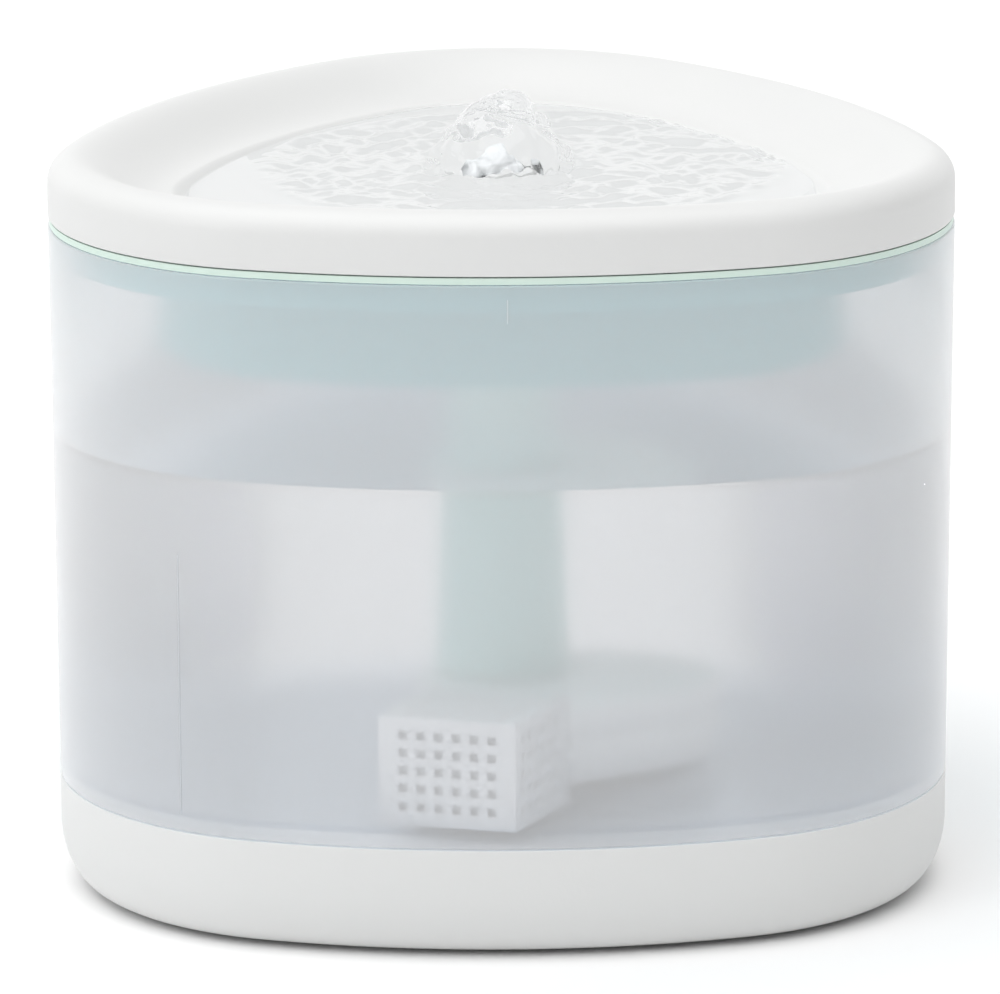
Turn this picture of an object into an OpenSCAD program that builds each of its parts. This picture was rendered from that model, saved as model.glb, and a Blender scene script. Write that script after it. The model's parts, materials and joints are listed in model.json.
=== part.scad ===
// Drinking fountain for cats and small dogs: a powered base, a frosted tank that lifts off it,
// a filter tray with a riser and a submersible pump, and a dish-shaped lid.
// Millimetres, +Z up, the flat-sided front faces -Y. Every ring, wall and plate follows one
// outline: a rounded triangle of six arcs that meet in line with each other.

/* [Outline, seen from above] */
// Overall width, from the left corner to the right one
body_w = 200; // [190:1:230]
// Radius of the three rounded corners
corner_r = 63; // [58:1:70]
// Angle that each gently bowed side spans, in degrees
side_arc = 35; // [28:1:44]

/* [Base] */
// Height of the base, from its underside to the deck that carries the tank
base_h = 24.6; // [23:0.2:36]
// Wall of the base shell
base_wall = 2.4; // [1.8:0.2:3]
// Thickness of the deck
deck_t = 2.4; // [1.8:0.2:3]
// How far the rounded bottom edge comes in
base_round_in = 8; // [5:0.5:10]
// How high the rounded bottom edge reaches
base_round_up = 14; // [8:0.5:16]
// Distance of the bottom plate's edge from the outline
plate_inset = 16; // [14:0.5:20]
// Thickness of the bottom plate
plate_t = 2.6; // [2:0.2:4]
// Radius of a rubber foot
foot_r = 9; // [6:0.5:11]
// Thickness of a rubber foot
foot_t = 2; // [1.6:0.2:3]
// How far a foot stands out of the bottom plate
foot_proud = 1; // [0.6:0.2:1.4]
// Distance of the feet from the middle
foot_ring_r = 62; // [50:1:68]
// Distance of the case screws from the middle
screw_ring_r = 60; // [52:1:64]
// Radius of a case screw's thread
screw_r = 1.4; // [1.2:0.1:2]
// Radius of a case screw's head
screw_head_r = 2.8; // [2.4:0.1:3.6]
// Depth of a case screw's head
screw_head_h = 1.6; // [1.2:0.1:2]
// How far a case screw reaches into its boss
screw_l = 8; // [5:0.5:12]
// Radius of a screw boss
screw_boss_r = 4; // [3.4:0.1:5]

/* [Power] */
// Radius of the raised boss on the deck, over the sending coil
coil_boss_r = 27; // [24:0.5:30]
// Height of that boss
coil_boss_h = 2; // [1:0.2:3]
// Inner radius of the sending and receiving coils
coil_in_r = 12; // [11:0.5:15]
// Outer radius of both coils
coil_out_r = 23; // [18:0.5:24]
// Thickness of both coils
coil_t = 1.4; // [1:0.1:1.8]
// Thickness of the ferrite behind each coil
ferrite_t = 0.8; // [0.5:0.1:1]
// Thickness of the plate that holds the sending coil
carrier_t = 1.6; // [1.2:0.1:2.4]
// Radius of that plate's three posts
carrier_post_r = 3; // [2:0.5:4]
// Height of the power inlet's middle above the underside of the base
inlet_h = 17.5; // [16:0.5:18.5]
// Width of the inlet's mouth
inlet_w = 9; // [8:0.5:12]
// Height of the inlet's mouth
inlet_mouth_h = 3.2; // [2.8:0.1:3.6]
// Length of the inlet's metal shell
inlet_l = 8; // [7:0.5:10]
// Width of the control board
board_w = 40; // [34:1:44]
// Length of the control board
board_l = 34; // [28:1:38]
// Thickness of the control board
board_t = 1.6; // [1:0.2:2]

/* [Tank] */
// Height of the tank, from its underside to its rim
tank_h = 124.8; // [115:1:160]
// Wall of the tank
tank_wall = 2.2; // [1.8:0.2:2.6]
// Thickness of the tank's floor
tank_floor_t = 2.4; // [1.8:0.2:3.2]
// How much narrower the tank is at its foot, on each side
tank_draft = 0.5; // [0.2:0.1:1]
// Rounding of the tank's outer rim
rim_round = 0.7; // [0.4:0.1:1]

/* [Filter tray] */
// Thickness of the tray's rim flange, which shows as a thin ring
flange_t = 1.4; // [1:0.1:2]
// Wall of the tray
tray_wall = 1.4; // [1:0.1:2]
// Depth of the shelf below the flange's top
shelf_depth = 8; // [7.4:0.2:12]
// Distance of the basket's wall from the outline
basket_inset = 23; // [20:0.5:26]
// Depth of the basket below the flange's top
basket_depth = 30; // [27:0.5:34]
// Radius of the collar that grips the riser, at its top
collar_top_r = 19; // [17:0.5:22]
// Height of that collar below the basket's floor
collar_h = 9; // [6:0.5:14]
// Number of drain slots in the basket's floor
tray_slots = 16; // [8:1:20]
// Width of a drain slot
tray_slot_w = 3; // [2:0.2:3.6]
// Length of a drain slot
tray_slot_l = 24; // [16:1:28]
// Radius of the riser's bore
riser_bore_r = 9; // [8:0.2:9.4]
// Wall of the riser at its top
riser_wall = 2; // [1.6:0.1:2.4]
// How much wider the riser is at its foot
riser_flare = 2; // [1:0.2:3]
// How far the riser stands above the basket's floor
riser_top_h = 26; // [22:0.5:27]

/* [Filter] */
// Gap between the cartridge and the basket
cartridge_gap = 0.8; // [0.5:0.1:1.5]
// Height of the cartridge
cartridge_h = 17; // [14:0.5:18]
// Wall of the cartridge's frame
cartridge_wall = 1.6; // [1.2:0.1:2]
// Thickness of the cotton pad on top
pad_t = 4; // [3:0.5:6]
// Radius of the hole through the middle
cartridge_hole_r = 15.5; // [15.2:0.1:16]
// Width of a bar in the cartridge's top grid
grid_bar = 2.4; // [1.6:0.2:3]
// Length of a slot in the cartridge's floor
cartridge_slot_l = 22; // [16:1:26]
// Width of a slot in the cartridge's floor
cartridge_slot_w = 6; // [4:0.5:7]

/* [Lid] */
// Height of the lid's outer wall
lid_h = 13.3; // [12:0.1:18]
// Wall of the lid
lid_wall = 2.4; // [2:0.1:3]
// Rounding of the lid's top edge
lid_round = 5.8; // [4:0.2:6.4]
// Distance of the pool's edge from the outline
pool_inset = 27; // [24:0.5:29]
// Depth of the pool's edge below the lid's top
pool_edge_drop = 8.4; // [7:0.1:8.6]
// Depth of the pool's floor below the lid's top
pool_drop = 10.6; // [9.6:0.1:10.8]
// Width of the step from the pool's edge down to its floor
pool_step = 4; // [3:0.5:5]
// Thickness of the dish
dish_t = 2.2; // [1.6:0.1:2.4]
// Length of the lid's locating rib below the lid's wall
lid_rib_l = 6; // [4:0.2:6.6]
// Width of the locating rib
lid_rib_w = 1.5; // [1.2:0.1:1.8]
// Number of drain slots along the front of the pool
lid_slots = 5; // [3:2:7]
// Length of a drain slot
lid_slot_l = 12; // [8:0.5:14]
// Width of a drain slot
lid_slot_w = 3; // [2:0.2:3.6]
// Distance of the drain slots from the outline
lid_slot_inset = 35; // [34:0.5:40]
// Radius of the nozzle's bore
nozzle_r = 6.2; // [5:0.1:6.6]

/* [Pump] */
// Radius of the pump's round body
pump_r = 30; // [28:0.5:32]
// Height of the pump's body
pump_h = 17; // [16.6:0.2:20]
// Wall of the pump's body
pump_wall = 1.6; // [1.2:0.1:2]
// How far the pump's middle lies to the right of the riser
pump_x = 13; // [12:0.5:14]
// Gap between the strainer's front corner and the tank's front wall
strainer_clear = 2.85; // [2:0.05:3.5]
// Turn of the pump, which points its strainer a little to the left
pump_turn = 20; // [10:1:24]
// Distance from the pump's middle to its front flange
pump_neck_l = 44; // [42:0.5:45]
// Thickness of a silicone pump foot
pump_foot_t = 0.8; // [0.6:0.1:1.2]
// Radius of the rotor's can
can_r = 8; // [7:0.1:8.4]
// Radius of the impeller
impeller_r = 9.5; // [8:0.1:9.8]
// Number of impeller vanes
vanes = 6; // [4:1:8]
// Radius of the impeller's shaft
shaft_r = 1; // [0.8:0.1:1.2]
// Radius of the outlet stub's bore
outlet_r = 4.6; // [4:0.1:5]
// Width of the strainer
strainer_w = 31; // [28:0.5:33]
// Depth of the strainer, from its front face to the pump's flange
strainer_d = 30; // [26:0.5:31]
// Height of the strainer
strainer_h = 24; // [22.6:0.2:28]
// Wall of the strainer
strainer_wall = 1.4; // [1:0.1:1.8]
// Width of a hole in the strainer
strainer_hole = 2; // [1.4:0.1:2.4]
// Spacing of the holes in the strainer
strainer_pitch = 4; // [3.6:0.1:5]

/* [Clearances] */
// Gap where one lift-off piece stands on the next
seat_gap = 0.2; // [0.1:0.05:0.3]
// Gap between the lid and the tray, a thin dark line all round
lid_gap = 0.3; // [0.2:0.05:0.5]
// Gap beside pieces that lift past each other
lift_gap = 0.4; // [0.3:0.05:0.5]
// Gap between fixed pieces in the same assembly
fit_gap = 0.05; // [0.02:0.01:0.1]
// Radial gap in the impeller's bearings
bearing_gap = 0.05; // [0.03:0.01:0.08]

/* [Hidden] */
$fn = 120;
eps = 0.01;
WHITE = [0.94, 0.945, 0.945];
MINT = [0.66, 0.86, 0.80];
FROST = [0.80, 0.85, 0.89, 0.45];
DARK = [0.16, 0.17, 0.18];
COPPER = [0.80, 0.48, 0.28];
STEEL = [0.72, 0.73, 0.75];
RUBBER = [0.30, 0.31, 0.32];
SILICONE = [0.86, 0.88, 0.88];

// The outline: three corner centres, and a centre for each side's long arc.
corner_d = (body_w / 2 - corner_r) / cos(30);
side_half = side_arc / 2;
corner_half = 60 - side_half;
side_r = corner_r + (body_w / 2 - corner_r) / sin(side_half);
side_c = -corner_d / 2 + (side_r - corner_r) * cos(side_half);
centre_y = (side_r - side_c - corner_d - corner_r) / 2;

// Heights, from the floor up.
z_base = foot_proud;
z_plate_top = z_base + plate_t;
z_deck = z_base + base_h;
z_tank = z_deck + seat_gap;
z_floor = z_tank + tank_floor_t;
z_rim = z_tank + tank_h;
z_flange = z_rim + seat_gap;
z_tray_top = z_flange + flange_t;
z_shelf = z_tray_top - shelf_depth;
z_basket = z_tray_top - basket_depth;
z_basket_floor = z_basket + tray_wall;
z_riser_top = z_basket_floor + riser_top_h;
z_lid = z_tray_top + lid_gap;
z_lid_top = z_lid + lid_h;
z_pool = z_lid_top - pool_drop;
z_pad = z_floor + coil_boss_h;
z_pump = z_pad + seat_gap + pump_foot_t;
z_pump_top = z_pump + pump_h;

// Base and power.
shell_lip_in = plate_inset - 0.3;
coil_pocket_z = z_deck + coil_boss_h - deck_t;
carrier_r = coil_out_r + 1;
carrier_z = coil_pocket_z - coil_t - ferrite_t - carrier_t - 0.2;
carrier_post_ring = 18;
inlet_z = z_base + inlet_h;
inlet_mouth_y = corner_d + corner_r - tank_draft - 1.2;
inlet_shell_t = 0.4;
board_z = inlet_z - inlet_mouth_h / 2 - inlet_shell_t - board_t;
board_back_y = inlet_mouth_y - inlet_l + 1.5;
board_tongue_w = 20;
board_tongue_l = 6;
board_y = board_back_y - board_tongue_l - board_l;
board_post_r = 2.2;
board_post_in = 4;
board_slot = [5, 3];
main_chip = [7, 7, 1.2];
driver_chip = [4, 5, 1.2];
regulator = [3, 5, 1];
choke_r = 3.2;
choke_h = 2.6;
capacitor_r = 2.6;
capacitor_h = 3;
foot_angles = [90, 210, 330];
screw_angles = [30, 150, 270];

// Pump, in its own frame: middle of the body at the origin, strainer towards -Y.
strainer_front = -(pump_neck_l + 0.4 + strainer_d);
front_wall_y = side_c - side_r + tank_draft + tank_wall;
pump_y = front_wall_y + strainer_clear + strainer_w / 2 * sin(pump_turn)
    - strainer_front * cos(pump_turn);
pump_bottom_t = 1.2;
pump_coil_z = z_pump + pump_bottom_t;
pump_ferrite_z = pump_coil_z + coil_t;
stator_z = pump_ferrite_z + ferrite_t;
pump_split = z_pump + 9.8;
pump_deck_t = 1.4;
can_wall = 1;
can_floor_z = stator_z + can_wall + 0.1;
stator_h = 4;
stator_in_r = can_r + can_wall + 0.3;
stator_out_r = 16;
stator_ring_t = 2;
tooth_w = 4;
winding_t = 1;
bush_h = 0.8;
bush_r = shaft_r + 1.2;
sleeve_r = bush_r + 0.2;
magnet_z = can_floor_z + bush_h + 0.2;
magnet_r = can_r - 0.6;
impeller_z = pump_split + 0.3;
magnet_h = impeller_z - magnet_z;
impeller_disc_t = 0.8;
vane_h = 1.6;
vane_t = 0.8;
volute_wall = 1.2;
volute_channel = 7;
volute_in_r = impeller_r + 1.5;
volute_roof_z = impeller_z + impeller_disc_t + vane_h + 0.3;
volute_roof_t = 1.2;
eye_r = 4.4;
stub_wall = 1.5;
stub_r = outlet_r + stub_wall;
stub_top_z = z_pump_top + 10;
outlet_away = norm([pump_x, pump_y]);
outlet_angle = atan2(-pump_y, -pump_x) + pump_turn;
neck_half = strainer_w / 2 - strainer_wall - 3;
neck_straight = 5;
flange_plate_t = 1.6;
flange_half = strainer_w / 2 - strainer_wall - 0.3;
strainer_z = z_floor + 0.6;
strainer_top = strainer_z + strainer_h;
strainer_lip = 1.6;
strainer_back = -(pump_neck_l - flange_plate_t) + 0.3;
flange_top = strainer_top - strainer_wall - 0.3;
window_half = 8;
window_l = 12;
pump_foot_ring = 20;
pump_foot_r = 4;
adapter_h = 7;

// Tray, filter and lid.
basket_floor_w = 6;
tray_slot_land = 4;
collar_bottom_r = riser_bore_r + riser_wall + tray_wall;
shoulder_r = riser_bore_r + riser_wall + 3;
shoulder_t = 1.6;
cartridge_inset = basket_inset + tray_wall + cartridge_gap;
cartridge_z = z_basket_floor + 0.3;
lid_rib_in = tank_wall + lift_gap + tray_wall + lift_gap;
lid_collar_r = riser_bore_r + riser_wall + lift_gap;
lid_collar_wall = 1.6;
nozzle_wall = 2;
nozzle_flange_t = 1;
nozzle_flange_w = 1.6;

// ---------------------------------------------------------------- outline tools

// Puts a piece drawn about the triangle's middle into the part's frame.
module place() {
    translate([0, centre_y, 0]) children();
}

// Puts a piece drawn in the pump's own frame where the pump stands.
module place_pump() {
    place() translate([pump_x, pump_y, 0]) rotate([0, 0, -pump_turn]) children();
}

// Moves by v in a round step and its remainder, so that neighbouring arcs share their ends exactly.
module exact_move(v) {
    coarse = [for (c = v) round(c * 100) / 100];
    translate(coarse) translate(v - coarse) children();
}

// Sweeps a profile round the outline: its x is the distance in from the outline, its y the height.
module sweep() {
    for (a = [90, 210, 330]) {
        exact_move(corner_d * [cos(a), sin(a), 0])
            rotate_extrude(start = a - corner_half, angle = 2 * corner_half)
                translate([corner_r, 0]) mirror([1, 0]) children();
        exact_move(side_c * [cos(a), sin(a), 0])
            rotate_extrude(start = a + 180 - side_half, angle = 2 * side_half)
                exact_move([side_r, 0]) mirror([1, 0]) children();
    }
}

// A plate of the outline, drawn in by inset, from z over the height h. The sweep ends just
// short of the corners' centres, and a round middle that reaches past them closes the plate.
module plate(inset, z, h) {
    sweep() translate([inset, z]) square([corner_r - 1 - inset, h]);
    translate([0, 0, z]) cylinder(r = corner_d + 4, h = h);
}

// A ring between two radii.
module ring(r_out, r_in, z, h) {
    translate([0, 0, z]) difference() {
        cylinder(r = r_out, h = h);
        translate([0, 0, -1]) cylinder(r = r_in, h = h + 2);
    }
}

// Points along an elliptical quarter, from angle a0 to a1.
function bend(cx, cz, rx, rz, a0, a1, n) =
    [for (i = [0:n]) let (a = a0 + (a1 - a0) * i / n) [cx + rx * cos(a), cz + rz * sin(a)]];

// ---------------------------------------------------------------- base

// The base's outer side: an upright wall that rounds in to the underside.
module base_side(inset, z0, z1, round_in, round_up, reach) {
    polygon(concat(
        [[reach, z0]],
        bend(inset + round_in, z0 + round_up, round_in, round_up, 270, 180, 8),
        [[inset, z1], [reach, z1]]
    ));
}

module base_shell() {
    reach = 34;
    color(WHITE) place() difference() {
        union() {
            sweep() difference() {
                base_side(tank_draft, z_base, z_deck, base_round_in, base_round_up, reach);
                base_side(
                    tank_draft + base_wall, z_plate_top, z_deck - deck_t,
                    base_round_in, base_round_up - base_wall, reach + 1
                );
                translate([shell_lip_in, z_base - 1]) square([reach, plate_t + 2]);
            }
            plate(reach - 0.5, z_deck - deck_t, deck_t);
            translate([pump_x, pump_y, z_deck - deck_t])
                cylinder(r = coil_boss_r, h = deck_t + coil_boss_h);
            for (a = screw_angles)
                translate([screw_ring_r * cos(a), screw_ring_r * sin(a), z_plate_top])
                    cylinder(r = screw_boss_r, h = z_deck - z_plate_top - deck_t / 2);
        }
        translate([pump_x, pump_y, z_deck - deck_t - 1])
            cylinder(r = coil_boss_r - base_wall, h = coil_boss_h + 1);
        for (a = screw_angles)
            translate([screw_ring_r * cos(a), screw_ring_r * sin(a), z_plate_top - 1])
                cylinder(r = screw_r + fit_gap, h = screw_l + 2);
        translate([-inlet_w / 2 - inlet_shell_t - 0.1, inlet_mouth_y - 6, inlet_z
            - inlet_mouth_h / 2 - inlet_shell_t - 0.1])
            cube([inlet_w + 2 * inlet_shell_t + 0.2, 10, inlet_mouth_h + 2 * inlet_shell_t + 0.2]);
    }
}

module base_plate() {
    color(WHITE) place() difference() {
        union() {
            plate(plate_inset, z_base, plate_t);
            for (a = [0, 120, 240])
                translate([
                    pump_x + carrier_post_ring * cos(a), pump_y + carrier_post_ring * sin(a),
                    z_plate_top - 1
                ])
                    cylinder(r = carrier_post_r + 1.4, h = 3);
            for (x = [-1, 1], y = [board_post_in, board_l - 3 * board_post_in])
                translate([x * (board_w / 2 - board_post_in), board_y + y, z_plate_top - 1])
                    cylinder(r = board_post_r, h = board_z - z_plate_top + 1);
        }
        for (a = foot_angles)
            translate([foot_ring_r * cos(a), foot_ring_r * sin(a), z_base - 1])
                cylinder(r = foot_r + fit_gap, h = foot_t - foot_proud + 1);
        for (a = screw_angles)
            translate([screw_ring_r * cos(a), screw_ring_r * sin(a), 0]) {
                translate([0, 0, z_base - 1])
                    cylinder(r = screw_head_r + 0.2, h = screw_head_h + 1);
                translate([0, 0, z_base]) cylinder(r = screw_r + 0.2, h = plate_t + 1);
            }
        for (a = [0, 120, 240])
            translate([
                pump_x + carrier_post_ring * cos(a), pump_y + carrier_post_ring * sin(a),
                z_plate_top
            ])
                cylinder(r = carrier_post_r + fit_gap, h = 3);
    }
}

module rubber_feet() {
    color(RUBBER) place()
        for (a = foot_angles)
            translate([foot_ring_r * cos(a), foot_ring_r * sin(a), 0])
                cylinder(r = foot_r, h = foot_t);
}

module base_screws() {
    color(STEEL) place()
        for (a = screw_angles)
            translate([screw_ring_r * cos(a), screw_ring_r * sin(a), z_base]) difference() {
                union() {
                    cylinder(r = screw_head_r, h = screw_head_h);
                    cylinder(r = screw_r, h = plate_t + screw_l);
                }
                for (turn = [0, 90])
                    rotate([0, 0, turn])
                        translate([-1.6, -0.35, -1]) cube([3.2, 0.7, 1.9]);
            }
}

module control_board() {
    color([0.16, 0.42, 0.30]) place() difference() {
        union() {
            translate([-board_w / 2, board_y, board_z]) cube([board_w, board_l, board_t]);
            translate([-board_tongue_w / 2, board_y + board_l - 1, board_z])
                cube([board_tongue_w, board_tongue_l + 1, board_t]);
        }
        translate([board_w / 2 - 2 * board_slot[0], board_y + board_l - 2 * board_slot[1], board_z - 1])
            cube([board_slot[0], board_slot[1], board_t + 2]);
    }
}

// Chips, two inductors and a capacitor, standing on the board.
module board_parts() {
    top = board_z + board_t;
    mid_y = board_y + board_l / 2;
    color(DARK) place() {
        translate([-board_w * 0.35, mid_y - main_chip[1] / 2, top]) cube(main_chip);
        translate([-driver_chip[0] / 2, mid_y - board_l * 0.18, top]) cube(driver_chip);
        translate([board_w * 0.15, mid_y - board_l * 0.26, top]) cube(regulator);
        for (side = [-1, 1])
            translate([side * board_w * 0.22, mid_y + board_l * 0.26, top])
                cylinder(r = choke_r, h = choke_h);
        translate([board_w * 0.32, mid_y, top]) cylinder(r = capacitor_r, h = capacitor_h);
    }
}

module power_inlet() {
    color(STEEL) place() translate([0, inlet_mouth_y, inlet_z]) rotate([90, 0, 0]) difference() {
        linear_extrude(inlet_l) inlet_shape(inlet_shell_t);
        translate([0, 0, -1]) linear_extrude(inlet_l - 1) inlet_shape(0);
    }
    color(DARK) place() translate([-inlet_w / 2 + 1.4, inlet_mouth_y - inlet_l + 1, inlet_z - 0.35])
        cube([inlet_w - 2.8, inlet_l - 2, 0.7]);
}

// The inlet's mouth, a slot with round ends, grown by extra.
module inlet_shape(extra) {
    half = inlet_mouth_h / 2;
    for (side = [-1, 1])
        translate([side * (inlet_w / 2 - half), 0]) circle(half + extra);
    square([inlet_w - 2 * half, inlet_mouth_h + 2 * extra], center = true);
}

module coil_carrier() {
    color(DARK) place() translate([pump_x, pump_y, 0]) {
        translate([0, 0, carrier_z]) cylinder(r = carrier_r, h = carrier_t);
        for (a = [0, 120, 240])
            translate([carrier_post_ring * cos(a), carrier_post_ring * sin(a), z_plate_top])
                cylinder(r = carrier_post_r, h = carrier_z - z_plate_top + 0.5);
    }
}

module sending_ferrite() {
    color(DARK) place() translate([pump_x, pump_y, carrier_z + carrier_t])
        cylinder(r = coil_out_r, h = ferrite_t);
}

module sending_coil() {
    color(COPPER) place() translate([pump_x, pump_y, 0])
        ring(coil_out_r, coil_in_r, carrier_z + carrier_t + ferrite_t, coil_t);
}

// ---------------------------------------------------------------- tank

module tank() {
    reach = 20;
    recess_r = coil_boss_r + lift_gap;
    color(FROST) place() difference() {
        union() {
            sweep() {
                polygon([
                    [tank_draft, z_tank], [0, z_rim - rim_round], [rim_round, z_rim],
                    [tank_wall, z_rim], [tank_draft + tank_wall, z_floor], [reach, z_floor],
                    [reach, z_tank]
                ]);
            }
            plate(reach - 0.5, z_tank, tank_floor_t);
            translate([pump_x, pump_y, z_tank])
                cylinder(r = recess_r + tank_wall, h = z_pad - z_tank);
        }
        translate([pump_x, pump_y, z_tank - 1]) cylinder(r = recess_r, h = coil_boss_h + 1);
    }
}

// ---------------------------------------------------------------- filter tray and riser

module filter_tray() {
    skirt_in = tank_wall + lift_gap;
    flange_inset = 0.3;
    reach = basket_inset + tray_wall + basket_floor_w;
    slot_near = collar_top_r + tray_slot_land;
    color(MINT) place() difference() {
        union() {
            sweep() polygon([
                [flange_inset, z_flange], [flange_inset, z_tray_top],
                [skirt_in + tray_wall, z_tray_top], [skirt_in + tray_wall, z_shelf + tray_wall],
                [basket_inset + tray_wall, z_shelf + tray_wall],
                [basket_inset + tray_wall, z_basket_floor], [reach, z_basket_floor],
                [reach, z_basket], [basket_inset, z_basket], [basket_inset, z_shelf],
                [skirt_in, z_shelf], [skirt_in, z_flange]
            ]);
            plate(reach - 0.5, z_basket, tray_wall);
            translate([0, 0, z_basket - collar_h])
                cylinder(r1 = collar_bottom_r, r2 = collar_top_r, h = collar_h + tray_wall / 2);
        }
        translate([0, 0, z_basket - collar_h - 1])
            cylinder(r = riser_bore_r + riser_wall + fit_gap, h = collar_h + tray_wall + 2);
        for (i = [0:tray_slots - 1])
            rotate([0, 0, 360 * (i + 0.5) / tray_slots])
                translate([slot_near, -tray_slot_w / 2, z_basket - 1])
                    cube([tray_slot_l, tray_slot_w, tray_wall + 2]);
    }
}

module riser_tube() {
    foot = z_pump_top + 0.2;
    top_r = riser_bore_r + riser_wall;
    grip = z_basket - collar_h - 1;
    color(MINT) place() difference() {
        union() {
            translate([0, 0, foot]) cylinder(r1 = top_r + riser_flare, r2 = top_r, h = grip - foot);
            translate([0, 0, grip - eps]) cylinder(r = top_r, h = z_riser_top - grip + eps);
            translate([0, 0, z_basket_floor]) cylinder(r = shoulder_r, h = shoulder_t);
        }
        translate([0, 0, foot - 1]) cylinder(r = riser_bore_r, h = z_riser_top - foot + 2);
    }
}

module outlet_adapter() {
    color(SILICONE) place()
        ring(riser_bore_r - fit_gap, stub_r + fit_gap, stub_top_z - adapter_h - 1, adapter_h);
}

// ---------------------------------------------------------------- pump

// The pump's outline from above: a round body that narrows to a straight neck.
module pump_outline(inset) {
    r = pump_r - inset;
    half = neck_half - inset;
    neck_y = -(pump_neck_l - neck_straight);
    neck_end = -pump_neck_l + 0.4 + inset;
    corner_away = norm([half, neck_y]);
    touch = atan2(neck_y, half) + acos(r / corner_away);
    circle(r);
    polygon([
        [0, 0], [-r * cos(touch), r * sin(touch)], [-half, neck_y], [-half, neck_end],
        [half, neck_end], [half, neck_y], [r * cos(touch), r * sin(touch)]
    ]);
}

module pump_housing() {
    color(WHITE) place_pump() difference() {
        union() {
            difference() {
                translate([0, 0, z_pump]) linear_extrude(pump_split - z_pump) pump_outline(0);
                translate([0, 0, z_pump - 1])
                    linear_extrude(pump_split - z_pump - pump_deck_t + 1) pump_outline(pump_wall);
            }
            translate([0, 0, can_floor_z - can_wall])
                cylinder(r = can_r + can_wall, h = pump_split - can_floor_z + can_wall);
            translate([-flange_half, -pump_neck_l, z_pump])
                cube([2 * flange_half, flange_plate_t, flange_top - z_pump]);
        }
        translate([0, 0, can_floor_z]) cylinder(r = can_r, h = pump_split);
        translate([-window_half, -pump_neck_l - 1, pump_split + 0.4])
            cube([2 * window_half, flange_plate_t + 2, z_pump_top - pump_split - pump_wall - 0.8]);
        translate([0, 0, can_floor_z - can_wall / 2])
            cylinder(r = shaft_r + fit_gap, h = can_wall);
    }
}

module pump_cover() {
    color(WHITE) place_pump() difference() {
        translate([0, 0, pump_split + fit_gap])
            linear_extrude(z_pump_top - pump_split - fit_gap) pump_cover_outline(0);
        translate([0, 0, pump_split - 1])
            linear_extrude(z_pump_top - pump_split - pump_wall + 1) pump_cover_outline(pump_wall);
        translate([-window_half, -pump_neck_l, pump_split - 1])
            cube([2 * window_half, window_l, z_pump_top - pump_split - pump_wall + 1]);
        rotate([0, 0, outlet_angle]) translate([outlet_away, 0, pump_split])
            cylinder(r = stub_r + fit_gap, h = pump_h);
    }
}

// The cover stops short of the flange plate that the strainer slides on.
module pump_cover_outline(inset) {
    difference() {
        pump_outline(inset);
        translate([-pump_r, -pump_neck_l - pump_r + flange_plate_t + fit_gap + inset])
            square([2 * pump_r, pump_r]);
    }
}

module pump_bottom() {
    color(WHITE) place_pump() translate([0, 0, z_pump])
        linear_extrude(pump_bottom_t - 0.1) pump_outline(pump_wall + fit_gap);
}

module pump_feet() {
    color(SILICONE) place_pump()
        for (a = [90, 210, 330])
            translate([
                pump_foot_ring * cos(a), pump_foot_ring * sin(a), z_pump - pump_foot_t
            ])
                cylinder(r = pump_foot_r, h = pump_foot_t);
}

module receiving_coil() {
    color(COPPER) place_pump() ring(coil_out_r, coil_in_r, pump_coil_z, coil_t);
}

module receiving_ferrite() {
    color(DARK) place_pump() ring(coil_out_r, coil_in_r, pump_ferrite_z, ferrite_t);
}

// A ring of laminations with four teeth that reach in to the rotor's can.
module stator_core() {
    color(STEEL) place_pump() intersection() {
        ring(stator_out_r, stator_in_r, stator_z, stator_h);
        union() {
            ring(stator_out_r, stator_out_r - stator_ring_t, stator_z, stator_h);
            for (a = [45, 135, 225, 315])
                rotate([0, 0, a]) translate([0, -tooth_w / 2, stator_z + winding_t])
                    cube([stator_out_r - 1, tooth_w, stator_h - 2 * winding_t]);
        }
    }
}

module stator_windings() {
    inner = stator_in_r + 0.6;
    long = stator_out_r - stator_ring_t - inner - 0.6;
    color(COPPER) place_pump()
        for (a = [45, 135, 225, 315])
            rotate([0, 0, a]) difference() {
                translate([inner, -tooth_w / 2 - winding_t, stator_z])
                    cube([long, tooth_w + 2 * winding_t, stator_h]);
                translate([inner - 1, -tooth_w / 2, stator_z + winding_t])
                    cube([long + 2, tooth_w, stator_h - 2 * winding_t]);
            }
}

// The volute from above: a round chamber, a straight channel, and the outlet at its end.
module volute_outline(wall, outlet) {
    circle(volute_in_r + wall);
    rotate([0, 0, outlet_angle]) {
        translate([0, -volute_channel / 2 - wall])
            square([outlet_away, volute_channel + 2 * wall]);
        translate([outlet_away, 0]) circle(outlet);
    }
}

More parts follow.
